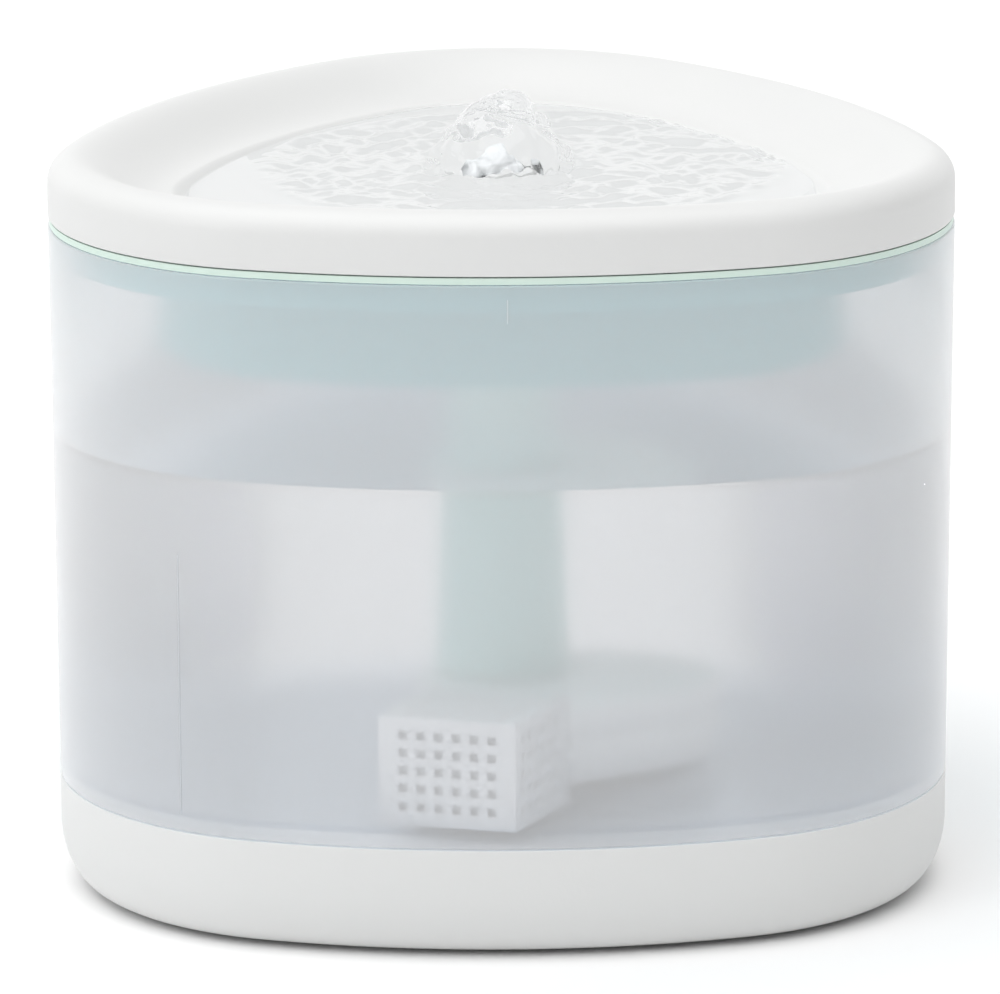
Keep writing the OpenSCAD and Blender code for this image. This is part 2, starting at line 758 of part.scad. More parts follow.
module volute() {
    roof_top = volute_roof_z + volute_roof_t;
    color(WHITE) place_pump() difference() {
        union() {
            translate([0, 0, pump_split]) linear_extrude(roof_top - pump_split)
                volute_outline(volute_wall, stub_r + 0.4);
            rotate([0, 0, outlet_angle]) translate([outlet_away, 0, volute_roof_z])
                cylinder(r = stub_r, h = stub_top_z - volute_roof_z);
        }
        translate([0, 0, pump_split - 1]) linear_extrude(volute_roof_z - pump_split + 1)
            volute_outline(0, outlet_r + 0.3);
        rotate([0, 0, outlet_angle]) translate([outlet_away, 0, volute_roof_z - 1])
            cylinder(r = outlet_r, h = stub_top_z - volute_roof_z + 2);
        difference() {
            translate([0, 0, volute_roof_z - 1]) cylinder(r = eye_r, h = volute_roof_t + 2);
            for (a = [0, 120, 240])
                rotate([0, 0, a]) translate([0, -0.6, volute_roof_z])
                    cube([eye_r + 1, 1.2, volute_roof_t]);
            translate([0, 0, volute_roof_z]) cylinder(r = bush_r + 0.8, h = volute_roof_t);
        }
        translate([0, 0, volute_roof_z - 1]) cylinder(r = bush_r + fit_gap, h = volute_roof_t + 2);
    }
}

module shaft_bushes() {
    color([0.92, 0.92, 0.88]) place_pump() {
        ring(bush_r, shaft_r + fit_gap, can_floor_z, bush_h);
        ring(bush_r, shaft_r + fit_gap, volute_roof_z, volute_roof_t);
    }
}

module impeller_shaft() {
    color([0.9, 0.9, 0.92]) place_pump()
        translate([0, 0, can_floor_z - can_wall / 2 + fit_gap])
            cylinder(r = shaft_r, h = volute_roof_z + volute_roof_t - can_floor_z + can_wall / 2 - 0.1);
}

module impeller() {
    top = impeller_z + impeller_disc_t;
    color(DARK) place_pump() difference() {
        union() {
            translate([0, 0, impeller_z]) cylinder(r = impeller_r, h = impeller_disc_t);
            translate([0, 0, magnet_z]) cylinder(r = sleeve_r, h = top + vane_h - magnet_z);
            for (i = [0:vanes - 1])
                rotate([0, 0, 360 * i / vanes]) translate([sleeve_r - 0.4, 0, top - eps])
                    cube([impeller_r - sleeve_r, vane_t, vane_h + eps]);
        }
        translate([0, 0, magnet_z - 1])
            cylinder(r = shaft_r + bearing_gap, h = top + vane_h - magnet_z + 2);
    }
}

module rotor_magnet() {
    color(DARK) place_pump() ring(magnet_r, sleeve_r + fit_gap, magnet_z, magnet_h);
}

// A box with rows of square holes, open at the back, with lips that grip the pump's flange.
module strainer_box() {
    half = strainer_w / 2;
    inside = half - strainer_wall;
    depth = strainer_back - strainer_front;
    columns = floor((strainer_w - 2 * strainer_wall - 1) / strainer_pitch);
    rows = floor((strainer_h - 2 * strainer_wall - 1) / strainer_pitch);
    deep = floor((strainer_d - 2 * strainer_wall - 1) / strainer_pitch);
    flange_y = -pump_neck_l;
    color(WHITE) place_pump() difference() {
        union() {
            difference() {
                translate([-half, strainer_front, strainer_z]) cube([strainer_w, depth, strainer_h]);
                translate([-inside, strainer_front + strainer_wall, strainer_z + strainer_wall])
                    cube([2 * inside, depth, strainer_h - 2 * strainer_wall]);
                translate([-inside, flange_y - 0.3, strainer_z - 1])
                    cube([2 * inside, depth, strainer_h - strainer_wall + 1]);
            }
            for (side = [-1, 1])
                translate([
                    side * (inside - strainer_lip / 2 + 0.1) - strainer_lip / 2 - 0.1, strainer_back,
                    strainer_z
                ])
                    cube([strainer_lip + 0.2, 1.2, strainer_h]);
            for (side = [-1, 1])
                translate([side * (half - strainer_wall / 2) - strainer_wall / 2,
                    strainer_back - eps, strainer_z])
                    cube([strainer_wall, 1.2 + eps, strainer_h]);
        }
        for (c = [0:columns - 1], r = [0:rows - 1])
            translate([
                (c - (columns - 1) / 2) * strainer_pitch, strainer_front + strainer_wall / 2,
                strainer_z + strainer_h / 2 + (r - (rows - 1) / 2) * strainer_pitch
            ])
                cube([strainer_hole, strainer_wall + 2, strainer_hole], center = true);
        for (d = [0:deep - 1], r = [0:rows - 1])
            translate([
                0, strainer_front + strainer_d / 2 + (d - (deep - 1) / 2) * strainer_pitch,
                strainer_z + strainer_h / 2 + (r - (rows - 1) / 2) * strainer_pitch
            ])
                cube([strainer_w + 2, strainer_hole, strainer_hole], center = true);
        for (c = [0:columns - 1], d = [0:deep - 1])
            translate([
                (c - (columns - 1) / 2) * strainer_pitch,
                strainer_front + strainer_d / 2 + (d - (deep - 1) / 2) * strainer_pitch,
                strainer_top - strainer_wall / 2
            ])
                cube([strainer_hole, strainer_hole, strainer_wall + 2], center = true);
    }
}

module strainer_foam() {
    half = strainer_w / 2 - strainer_wall - 0.2;
    color([0.55, 0.57, 0.6]) place_pump()
        translate([-half, strainer_front + strainer_wall + 0.2, strainer_z + strainer_wall])
            cube([
                2 * half, strainer_d - strainer_wall - 0.8, strainer_h - 2 * strainer_wall - 0.2
            ]);
}

// ---------------------------------------------------------------- filter cartridge

// The frame: a rim, a floor and a top grid of straight bars, round the riser.
module filter_frame() {
    top = cartridge_z + cartridge_h;
    color(WHITE) place() difference() {
        plate(cartridge_inset, cartridge_z, cartridge_h);
        difference() {
            plate(cartridge_inset + cartridge_wall, cartridge_z + cartridge_wall, cartridge_h);
            translate([0, 0, cartridge_z])
                cylinder(r = cartridge_hole_r + cartridge_wall, h = cartridge_h);
            intersection() {
                plate(cartridge_inset + 0.5, top - cartridge_wall, cartridge_wall);
                for (a = [0:30:150])
                    rotate([0, 0, a])
                        translate([-body_w, -grid_bar / 2, top - cartridge_wall])
                            cube([2 * body_w, grid_bar, cartridge_wall]);
            }
        }
        translate([0, 0, cartridge_z - 1]) cylinder(r = cartridge_hole_r, h = cartridge_h + 2);
        for (i = [0:11])
            rotate([0, 0, 30 * i + 15])
                translate([cartridge_hole_r + 5, -cartridge_slot_w / 2, cartridge_z - 1])
                    cube([cartridge_slot_l, cartridge_slot_w, cartridge_wall + 2]);
    }
}

// The space inside the cartridge's frame, drawn in by a little, for its fillings.
module filling(z, h) {
    difference() {
        plate(cartridge_inset + cartridge_wall + 0.2, z, h);
        translate([0, 0, z - 1]) cylinder(r = cartridge_hole_r + cartridge_wall + 0.2, h = h + 2);
    }
}

module filter_pad() {
    color([0.95, 0.95, 0.93]) place()
        filling(cartridge_z + cartridge_h - cartridge_wall - pad_t - 0.1, pad_t);
}

module filter_granules() {
    bed_z = cartridge_z + cartridge_wall + 0.1;
    color([0.24, 0.25, 0.26]) place()
        filling(bed_z, cartridge_z + cartridge_h - cartridge_wall - pad_t - 0.2 - bed_z);
}

// ---------------------------------------------------------------- lid

// The dish's upper surface, from the rim in to the pool's edge and down its step.
function dish_line(drop, first) = concat(
    [for (i = [first:8]) let (t = i / 8)
        [lid_round + t * (pool_inset - lid_round),
         z_lid_top - pool_edge_drop * (1 - cos(180 * pow(t, 0.9))) / 2 - drop]],
    [for (i = [1:3]) let (t = i / 3)
        [pool_inset + t * pool_step,
         z_lid_top - pool_edge_drop - (pool_drop - pool_edge_drop) * (1 - cos(180 * t)) / 2 - drop]]
);

module lid() {
    reach = pool_inset + pool_step + 2;
    rib_top = z_lid_top - lid_wall;
    slot_r = side_r - lid_slot_inset;
    slot_step = (lid_slot_l + 6) / slot_r * 180 / PI;
    color(WHITE) place() difference() {
        union() {
            sweep() union() {
                difference() {
                    polygon(concat(
                        [[reach, z_lid], [0, z_lid]],
                        bend(lid_round, z_lid_top - lid_round, lid_round, lid_round, 180, 90, 6),
                        dish_line(0, 1),
                        [[reach, z_pool]]
                    ));
                    polygon(concat(
                        [
                            [reach + 1, z_lid - 1], [lid_wall, z_lid - 1],
                            [lid_wall, z_lid_top - lid_round - 1],
                            [lid_wall * 2, z_lid_top - dish_t - 1]
                        ],
                        dish_line(dish_t, 2),
                        [[reach + 1, z_pool - dish_t]]
                    ));
                }
                translate([lid_rib_in, z_lid - lid_rib_l])
                    square([lid_rib_w, rib_top - z_lid + lid_rib_l]);
            }
            plate(reach - 0.5, z_pool - dish_t, dish_t);
            translate([0, 0, z_riser_top - 2.5])
                cylinder(r = lid_collar_r + lid_collar_wall, h = z_pool - 0.5 - z_riser_top + 2.5);
        }
        translate([0, 0, z_riser_top - 3.5])
            cylinder(r = lid_collar_r, h = z_pool - dish_t - z_riser_top + 3.5);
        translate([0, 0, z_pool - dish_t - 1])
            cylinder(r = nozzle_r + nozzle_wall + fit_gap, h = dish_t + 2);
        for (i = [0:lid_slots - 1])
            translate([0, side_c, 0]) rotate([0, 0, (i - (lid_slots - 1) / 2) * slot_step])
                translate([-lid_slot_l / 2, -slot_r - lid_slot_w / 2, z_pool - dish_t - 1])
                    cube([lid_slot_l, lid_slot_w, dish_t + 2]);
    }
}

module spout_nozzle() {
    color(WHITE) place() difference() {
        union() {
            translate([0, 0, z_pool - dish_t]) cylinder(r = nozzle_r + nozzle_wall, h = dish_t + 0.5);
            translate([0, 0, z_pool])
                cylinder(r = nozzle_r + nozzle_wall + nozzle_flange_w, h = nozzle_flange_t);
        }
        translate([0, 0, z_pool - dish_t - 1]) cylinder(r = nozzle_r, h = dish_t + 4);
    }
}

base_shell();
base_plate();
rubber_feet();
base_screws();
control_board();
board_parts();
power_inlet();
coil_carrier();
sending_ferrite();
sending_coil();
tank();
filter_tray();
riser_tube();
outlet_adapter();
pump_housing();
pump_cover();
pump_bottom();
pump_feet();
receiving_coil();
receiving_ferrite();
stator_core();
stator_windings();
volute();
shaft_bushes();
impeller_shaft();
impeller();
rotor_magnet();
strainer_box();
strainer_foam();
filter_frame();
filter_pad();
filter_granules();
lid();
spout_nozzle();
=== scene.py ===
# %% [markdown]
# # A pet water fountain
# This lesson dresses a drinking fountain for cats and small dogs: a white dish lid over a
# frosted tank, a mint filter tray with a riser, a small pump with its strainer, and a white
# base that feeds the pump without a wire. The solids of the construction are already there,
# so the first step loads them as a fixed frame. Every piece made here takes its place from
# them and rides on one of their bodies.

# %% Load the frame
import json
import math
import random

import bmesh
import bpy
import numpy as np
from mathutils import Matrix, Vector, noise

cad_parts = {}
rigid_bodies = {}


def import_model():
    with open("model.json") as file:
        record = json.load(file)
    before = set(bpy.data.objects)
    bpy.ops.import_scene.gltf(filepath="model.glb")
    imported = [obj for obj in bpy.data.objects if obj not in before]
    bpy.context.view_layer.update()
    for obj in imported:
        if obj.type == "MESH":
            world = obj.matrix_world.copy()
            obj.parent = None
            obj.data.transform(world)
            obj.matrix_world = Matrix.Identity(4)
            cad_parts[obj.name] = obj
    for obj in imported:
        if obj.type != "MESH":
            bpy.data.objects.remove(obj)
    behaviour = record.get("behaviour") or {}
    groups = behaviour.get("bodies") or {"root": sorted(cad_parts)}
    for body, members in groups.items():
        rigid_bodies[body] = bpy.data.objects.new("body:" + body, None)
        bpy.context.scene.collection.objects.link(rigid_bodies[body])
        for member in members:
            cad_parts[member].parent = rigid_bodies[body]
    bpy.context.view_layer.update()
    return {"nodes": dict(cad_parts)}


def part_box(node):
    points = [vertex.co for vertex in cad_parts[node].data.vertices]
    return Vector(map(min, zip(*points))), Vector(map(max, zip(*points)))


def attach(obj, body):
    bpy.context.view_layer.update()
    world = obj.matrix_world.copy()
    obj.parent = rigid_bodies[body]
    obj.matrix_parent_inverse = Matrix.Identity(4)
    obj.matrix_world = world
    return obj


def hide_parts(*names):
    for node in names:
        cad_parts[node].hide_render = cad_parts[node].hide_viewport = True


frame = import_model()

MM = 0.001

# %% [markdown]
# ## The outline
# Seen from above, the lid, the tank and the base share one shape: a triangle with three round
# corners and three softly bowed sides. It could be drawn as a spline, but six arcs that meet
# in line with each other are exact, and they have a bonus: to draw the outline in by some
# distance, each arc only gives that much off its radius. So a point of the outline is named by
# its direction, and any wall, rim or plate is found at its own inset.

# %% The outline's arcs, from the width of the lid
CORNER_R = 63 * MM
SIDE_HALF = math.radians(17.5)
CORNER_HALF = math.radians(60) - SIDE_HALF
body_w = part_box("lid")[1].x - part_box("lid")[0].x
corner_away = (body_w / 2 - CORNER_R) / math.cos(math.radians(30))
side_r = CORNER_R + (body_w / 2 - CORNER_R) / math.sin(SIDE_HALF)
side_away = -corner_away / 2 + (side_r - CORNER_R) * math.cos(SIDE_HALF)
middle_y = (side_r - side_away - corner_away - CORNER_R) / 2


def outline_arcs(corner_steps, side_steps):
    """Each sample as arc centre x, y, radius and the direction's cosine and sine."""
    rows = []
    for corner in (90, 210, 330):
        turn = math.radians(corner)
        other = turn - math.radians(120)
        for away, radius, half, facing, steps in (
            (corner_away, CORNER_R, CORNER_HALF, turn, corner_steps),
            (side_away, side_r, SIDE_HALF, turn + math.radians(60), side_steps),
        ):
            at = turn if radius == CORNER_R else other
            for i in range(steps):
                a = facing - half + 2 * half * i / steps
                rows.append((away * math.cos(at), away * math.sin(at), radius, math.cos(a), math.sin(a)))
    return np.array(rows)


ARCS = outline_arcs(48, 48)
MIDDLE_INSET = 30 * MM  # a ring that lies well inside every wall


def outline(inset, z, arcs=ARCS):
    """The outline drawn in by inset, at height z, as points about the part's own origin."""
    reach = arcs[:, 2] - inset
    x = arcs[:, 0] + reach * arcs[:, 3]
    y = arcs[:, 1] + reach * arcs[:, 4] + middle_y
    return np.stack([x, y, np.full(len(arcs), z)], axis=1)


rim = outline(0, 0)
print("outline in mm: x", (rim[:, 0].min() / MM).round(1), (rim[:, 0].max() / MM).round(1),
      "y", (rim[:, 1].min() / MM).round(1), (rim[:, 1].max() / MM).round(1))

# %% [markdown]
# ## Turning outlines into walls
# A moulded shell is a section carried round the outline. A curve with a bevel object could do
# that too, but a loft gives full control of the rings: each point of the section is one
# ring of the mesh, and quads join each ring to the next. When the section is a closed loop the
# result is a closed solid, which is what a mould would make.

# %% Loft
LOFT_TEST = 1 * MM


def new_object(name, verts, faces, smooth=True):
    mesh = bpy.data.meshes.new(name)
    mesh.from_pydata([tuple(v) for v in verts], [], faces)
    mesh.validate()
    obj = bpy.data.objects.new(name, mesh)
    bpy.context.scene.collection.objects.link(obj)
    if smooth:
        mesh.polygons.foreach_set("use_smooth", [True] * len(mesh.polygons))
    return obj


def loft_parts(rings, closed=True):
    """Vertices and quads through rings of equal length; closed joins the last ring to the first."""
    n, m = len(rings[0]), len(rings)
    faces = []
    for i in range(m if closed else m - 1):
        a, b = i * n, (i + 1) % m * n
        faces += [(a + j, a + (j + 1) % n, b + (j + 1) % n, b + j) for j in range(n)]
    return np.concatenate(rings), faces


def outward(obj):
    """Turns every face of a closed mesh to look out of the solid."""
    bm = bmesh.new()
    bm.from_mesh(obj.data)
    bmesh.ops.recalc_face_normals(bm, faces=bm.faces)
    if bm.calc_volume(signed=True) < 0:
        bmesh.ops.reverse_faces(bm, faces=bm.faces)
    bm.to_mesh(obj.data)
    bm.free()
    return obj


def soften(obj, angle=40):
    """Shades faces as one smooth surface where they meet at less than angle degrees."""
    obj.data.polygons.foreach_set("use_smooth", [True] * len(obj.data.polygons))
    obj.data.set_sharp_from_angle(angle=math.radians(angle))
    return obj


def loft(name, rings, closed=True, angle=40):
    verts, faces = loft_parts(rings, closed)
    return soften(outward(new_object(name, verts, faces)), angle)


three = [outline(inset, 0) for inset in (0, LOFT_TEST, 2 * LOFT_TEST)]
print("a closed loft of three rings has", len(loft_parts(three)[1]), "quads")

# %% Rings and turned pieces
def quarter(cx, cz, rx, rz, start, end, steps):
    """Points along an elliptical arc, its angles in degrees."""
    angles = np.radians(np.linspace(start, end, steps + 1))
    return [(cx + rx * math.cos(a), cz + rz * math.sin(a)) for a in angles]


def circle(r, z, cx=0.0, cy=None, arcs=ARCS):
    """A circle whose points lie in the same directions as the outline's, for joining the two."""
    cy = middle_y if cy is None else cy
    flat = outline(MIDDLE_INSET, 0, arcs)
    a = np.arctan2(flat[:, 1] - middle_y, flat[:, 0])
    return np.stack([cx + r * np.cos(a), cy + r * np.sin(a), np.full(len(a), z)], axis=1)


def between(ring_a, ring_b, steps):
    """Rings on the way from one to the other, without the two themselves."""
    return [ring_a + (ring_b - ring_a) * i / (steps + 1) for i in range(1, steps + 1)]


def turned(name, section, angle, steps=96):
    """A turned piece: a closed section of (radius, z) points about the part's upright axis."""
    a = np.arange(steps) * 2 * math.pi / steps
    rings = [
        np.stack([r * np.cos(a), middle_y + r * np.sin(a), np.full(steps, z)], axis=1)
        for r, z in section
    ]
    return loft(name, rings, True, angle)


print("a round edge in four steps has", len(quarter(0, 0, 1, 1, 0, 90, 4)), "points")

# %% Joining and cutting
def joined(name, pieces):
    """One object of several, in the order given, with its origin at the part's own."""
    bpy.ops.object.select_all(action="DESELECT")
    for p in pieces:
        p.select_set(True)
    bpy.context.view_layer.objects.active = pieces[0]
    bpy.ops.object.join()
    pieces[0].name = pieces[0].data.name = name
    pieces[0].data.transform(pieces[0].matrix_world)
    pieces[0].matrix_world = Matrix.Identity(4)
    return pieces[0]


def applied(obj):
    """Bakes an object's modifiers into its mesh."""
    bpy.context.view_layer.update()
    depsgraph = bpy.context.evaluated_depsgraph_get()
    mesh = bpy.data.meshes.new_from_object(obj.evaluated_get(depsgraph))
    obj.modifiers.clear()
    obj.data = mesh
    mesh.name = obj.name
    return obj


def cut(obj, tool):
    """Takes tool away from obj."""
    step = obj.modifiers.new("cut", "BOOLEAN")
    step.operation = "DIFFERENCE"
    step.solver = "EXACT"
    step.object = tool
    applied(obj)
    bpy.data.objects.remove(tool)
    return obj


def faces_of(obj):
    return f"{obj.name}: {len(obj.data.polygons)} faces"


print("solids to dress:", len(frame["nodes"]))

# %% [markdown]
# ## Camera
# The fountain is looked at from a little above, through a long lens from far away, so that its
# upright walls stay upright. The camera stands in front of the flat side and points at the
# fountain's axis. Its place is worked out in polar form: distance, height and a small turn.

# %% Camera
CAMERA_AWAY = 1533.6 * MM
CAMERA_HEIGHT = 474.7 * MM
CAMERA_PITCH = math.radians(14.378)
CAMERA_TURN = math.radians(-0.509)
CAMERA_ROLL = math.radians(-0.177)
LENS = 252.04
SENSOR = 36.0
FRAMING_SHIFT = -0.00146

camera_data = bpy.data.cameras.new("camera")
camera_data.lens = LENS
camera_data.sensor_width = SENSOR
camera_data.shift_x = FRAMING_SHIFT
camera_data.clip_start, camera_data.clip_end = 0.05, 50
camera = bpy.data.objects.new("camera", camera_data)
bpy.context.scene.collection.objects.link(camera)
axis = Matrix.Translation((0, middle_y, 0)) @ Matrix.Rotation(CAMERA_TURN, 4, "Z")
stand = Matrix.Translation((0, -CAMERA_AWAY, CAMERA_HEIGHT))
tilt = Matrix.Rotation(math.radians(90) - CAMERA_PITCH, 4, "X") @ Matrix.Rotation(CAMERA_ROLL, 4, "Z")
camera.matrix_world = axis @ stand @ tilt
bpy.context.scene.camera = camera
print("camera at", [round(x, 3) for x in camera.matrix_world.translation])

# %% [markdown]
# ## Studio
# The fountain stands on a plain white floor under soft light. A curved backdrop could be modelled
# too, but a floor that is wide enough and a white sky behind it look the same. The floor's finish
# is nearly matt, so that the fountain leaves a soft shade on it and no mirror image.

# %% Floor
def new_material(name):
    material = bpy.data.materials.new(name)
    material.use_nodes = True
    tree = material.node_tree
    return material, tree, tree.nodes["Principled BSDF"]


def set_inputs(node, **inputs):
    """Sets a node's inputs by their names; an underscore stands for a space."""
    for key, value in inputs.items():
        node.inputs[key.replace("_", " ")].default_value = value
    return node


def lay_floor():
    bpy.ops.mesh.primitive_plane_add(size=9.0, location=(0, 0, 0))
    floor = bpy.context.object
    floor.name = "floor"
    material, _, shader = new_material("floor_white")
    set_inputs(shader, Base_Color=(0.955, 0.955, 0.955, 1), Roughness=0.9, Specular_IOR_Level=0.1)
    floor.data.materials.append(material)
    return floor


print("floor:", [round(x, 1) for x in lay_floor().dimensions], "m")

# %% [markdown]
# ## Sky
# Most of the light comes from the sky. A panorama of a studio could do it, but a ramp over the
# angle from its brightest point is simpler to tune: it falls off to the lower right, so the white
# plastic turns a little darker there. Behind the fountain the sky is white down to the floor, as a
# studio's backdrop is, and that is what the water in the dish mirrors. The wall behind the camera
# is dark, because clear things need something dark to draw their edges with.

# %% Sky
SKY_STRENGTH = 1.07
SKY_TOWARDS = Vector((-0.3, -0.2, 0.9)).normalized()
SKY_RAMP = ((0.0, 0.05), (0.45, 0.19), (0.6, 0.41), (0.8, 0.73), (1.0, 0.83))
BACKDROP_EDGE = (0.25, 0.62)
BACKDROP_TOP = (0.7, 0.3)
DARK_WALL = (-0.9, -0.68)


def light_sky():
    """A sky whose brightness follows the angle from its brightest point, with a white backdrop."""
    world = bpy.data.worlds.new("studio")
    bpy.context.scene.world = world
    world.use_nodes = True
    tree = world.node_tree
    link = tree.links.new
    where = tree.nodes.new("ShaderNodeTexCoord")
    lean = tree.nodes.new("ShaderNodeVectorMath")
    lean.operation = "DOT_PRODUCT"
    lean.inputs[1].default_value = SKY_TOWARDS
    shift = tree.nodes.new("ShaderNodeMapRange")
    shift.inputs["From Min"].default_value = -1
    ramp = tree.nodes.new("ShaderNodeValToRGB")
    stops = ramp.color_ramp.elements
    while len(stops) < len(SKY_RAMP):
        stops.new(0.5)
    for stop, (place, bright) in zip(stops, SKY_RAMP):
        stop.position = place
        stop.color = (bright, bright, bright, 1)
    parts = tree.nodes.new("ShaderNodeSeparateXYZ")

    def zone(part, edges):
        fade = tree.nodes.new("ShaderNodeMapRange")
        fade.inputs["From Min"].default_value, fade.inputs["From Max"].default_value = edges
        link(parts.outputs[part], fade.inputs["Value"])
        return fade.outputs["Result"]

    def combined(operation, first, second):
        node = tree.nodes.new("ShaderNodeMath")
        node.operation = operation
        link(first, node.inputs[0])
        link(second, node.inputs[1])
        return node.outputs[0]

    back = tree.nodes["Background"]
    back.inputs["Strength"].default_value = SKY_STRENGTH
    link(where.outputs["Generated"], lean.inputs[0])
    link(lean.outputs["Value"], shift.inputs["Value"])
    link(shift.outputs["Result"], ramp.inputs["Fac"])
    link(where.outputs["Generated"], parts.inputs[0])
    backdrop = combined("MULTIPLY", zone("Y", BACKDROP_EDGE), zone("Z", BACKDROP_TOP))
    lit = combined("MAXIMUM", ramp.outputs["Color"], backdrop)
    link(combined("MULTIPLY", lit, zone("Y", DARK_WALL)), back.inputs["Color"])


light_sky()
print("the sky goes from", SKY_RAMP[0][1], "to", SKY_RAMP[-1][1], "away from the backdrop")

# %% [markdown]
# ## Lamps
# One wide lamp above gives the dish its form, and a second one, lower on the left, puts a quiet
# highlight on the rim. Both could be area lamps, but one that lights the floor as well has to be
# far away, as a sun is, or the floor gets a bright spot. A faint wide lamp from the front makes up
# for the dark wall on the white plastic, and neither gloss nor glass shows it.

# %% Lamps
def aimed(lamp, place, aim):
    bpy.context.scene.collection.objects.link(lamp)
    lamp.location = place
    lamp.rotation_euler = (Vector(aim) - Vector(place)).to_track_quat("-Z", "Y").to_euler()
    return lamp


def hang_far_lamp(name, place, strength, spread):
    """A wide lamp so far off that it lights the whole floor evenly."""
    data = bpy.data.lights.new(name, "SUN")
    data.energy, data.angle = strength, math.radians(spread)
    return aimed(bpy.data.objects.new(name, data), place, (0, 0, 0))


def hang_lamp(name, place, size, watts):
    data = bpy.data.lights.new(name, "AREA")
    data.shape = "RECTANGLE"
    data.size, data.size_y = size
    data.energy = watts
    return aimed(bpy.data.objects.new(name, data), place, (0, 0, 0.14))


hang_far_lamp("lamp_above", (-0.2, -0.3, 1.5), 1.5, 65)
hang_lamp("lamp_left", (-1.1, -1.0, 0.75), (0.5, 0.7), 2.2)
fill = hang_far_lamp("fill_front", (0.3, -1.0, 0.22), 0.2, 90)
fill.visible_glossy = fill.visible_transmission = False
bpy.context.scene.view_settings.view_transform = "Standard"

# %% [markdown]
# ## Finishes
# Moulded plastic is never quite even: its skin has a fine grain from the mould, which breaks up
# the gloss. Each finish could be built by hand, but one recipe serves for all the plastics: a base
# colour and a roughness that wander a little, and a fine bump. A finish only changes the numbers.

# %% Nodes that every finish uses
def new_node(tree, kind, **inputs):
    return set_inputs(tree.nodes.new(kind), **inputs)


def object_place(tree):
    """A place on the object itself, so that a pattern stays put when the piece moves."""
    return tree.nodes.new("ShaderNodeTexCoord").outputs["Object"]


def tinted(tree, shader, pattern, dark, light):
    """Runs the base colour from dark to light as a pattern goes from 0 to 1."""
    tint = tree.nodes.new("ShaderNodeMapRange")
    tint.data_type = "FLOAT_VECTOR"
    tint.inputs[9].default_value, tint.inputs[10].default_value = dark, light
    tree.links.new(pattern, tint.inputs[6])
    tree.links.new(tint.outputs[1], shader.inputs["Base Color"])


def embossed(tree, shader, pattern, strength, depth):
    """Raises the skin by up to depth where a pattern is high."""
    relief = new_node(tree, "ShaderNodeBump", Strength=strength, Distance=depth)
    tree.links.new(pattern, relief.inputs["Height"])
    tree.links.new(relief.outputs["Normal"], shader.inputs["Normal"])


def gloss_between(tree, shader, pattern, low, high):
    """Lets the roughness wander from low to high with a pattern."""
    gloss = new_node(tree, "ShaderNodeMapRange", To_Min=low, To_Max=high)
    tree.links.new(pattern, gloss.inputs["Value"])
    tree.links.new(gloss.outputs["Result"], shader.inputs["Roughness"])


print("lengths are in metres: a grain of 900 repeats about every", round(1000 / 900, 1), "mm")

# %% A recipe for moulded plastic
def moulded(name, colour, rough=0.4, grain=900, bump=0.06, tone=0.02, wander=0.06, **sockets):
    """Plastic with a fine mould grain; tone and wander are how far colour and gloss drift."""
    material, tree, shader = new_material(name)
    where = object_place(tree)
    fine = new_node(tree, "ShaderNodeTexNoise", Scale=grain, Detail=2.0)
    broad = new_node(tree, "ShaderNodeTexNoise", Scale=14.0, Detail=3.0)
    for node in (fine, broad):
        tree.links.new(where, node.inputs["Vector"])
    dark = [c * (1 - tone) for c in colour]
    light = [min(1.0, c * (1 + tone)) for c in colour]
    tinted(tree, shader, broad.outputs["Fac"], dark, light)
    gloss_between(tree, shader, broad.outputs["Fac"], rough - wander, rough + wander)
    embossed(tree, shader, fine.outputs["Fac"], bump, 0.0004)
    set_inputs(shader, **sockets)
    return material


satin_white = moulded("satin_white", (0.735, 0.74, 0.735), rough=0.42)
pump_white = moulded("pump_white", (0.86, 0.87, 0.865), rough=0.35)
strainer_white = moulded("strainer_white", (0.65, 0.655, 0.66), rough=0.45)
# mint and the darker basket mint are lit and shaded copies of one plastic: the basket's darker, bluer mint
# is painted shade
mint = moulded("mint", (0.66, 0.80, 0.725), rough=0.4)
deep_mint = moulded("deep_mint", (0.13, 0.42, 0.45), rough=0.4)
riser_mint = moulded("riser_mint", (0.53, 0.76, 0.72), rough=0.4)
print("finishes:", [m.name for m in bpy.data.materials])

# %% Dressing a piece
SLOTS = {name: node.data.materials[0].name for name, node in frame["nodes"].items()}


def dress(obj, material, body, slot=None, *stands_for):
    """Gives a finished piece its material and body, and hides the solids that it stands for. The slot is
    not used.
    """
    index = [face.material_index for face in obj.data.polygons]
    obj.data.materials.clear()
    for finish in material if isinstance(material, tuple) else (material,):
        obj.data.materials.append(finish)
    obj.data.polygons.foreach_set("material_index", index)
    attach(obj, body)
    if stands_for:
        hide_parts(*stands_for)
    print(faces_of(obj), "on", body)
    return obj


print("slots:", sorted(set(SLOTS.values())))

# %% [markdown]
# ## Lid
# The lid is the dish that the animal drinks from: an upright wall, a wide round over the rim, and
# a floor that dips smoothly to a flat pool. It is one thin shell, so its section runs over the
# top from the spout's hole to the rim, down the wall, and back along the underside, where a short
# sleeve guides the lid on to the riser.

# %% Lid
LID_WALL = 2.4 * MM
LID_ROUND = 5.8 * MM
DISH_T = 2.2 * MM
POOL_INSET = 27 * MM
POOL_STEP = 4 * MM
POOL_EDGE_DROP = 8.4 * MM
POOL_DROP = 10.6 * MM
SPOUT_HOLE_R = 8.25 * MM
GUIDE_R = 12.9 * MM
GUIDE_WALL = 1.6 * MM
GUIDE_LAP = 2.5 * MM
LID_GAP = 0.3 * MM
tray_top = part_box("filter_tray")[1].z
lid_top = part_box("lid")[1].z
lid_foot = tray_top + LID_GAP
pool_z = lid_top - POOL_DROP


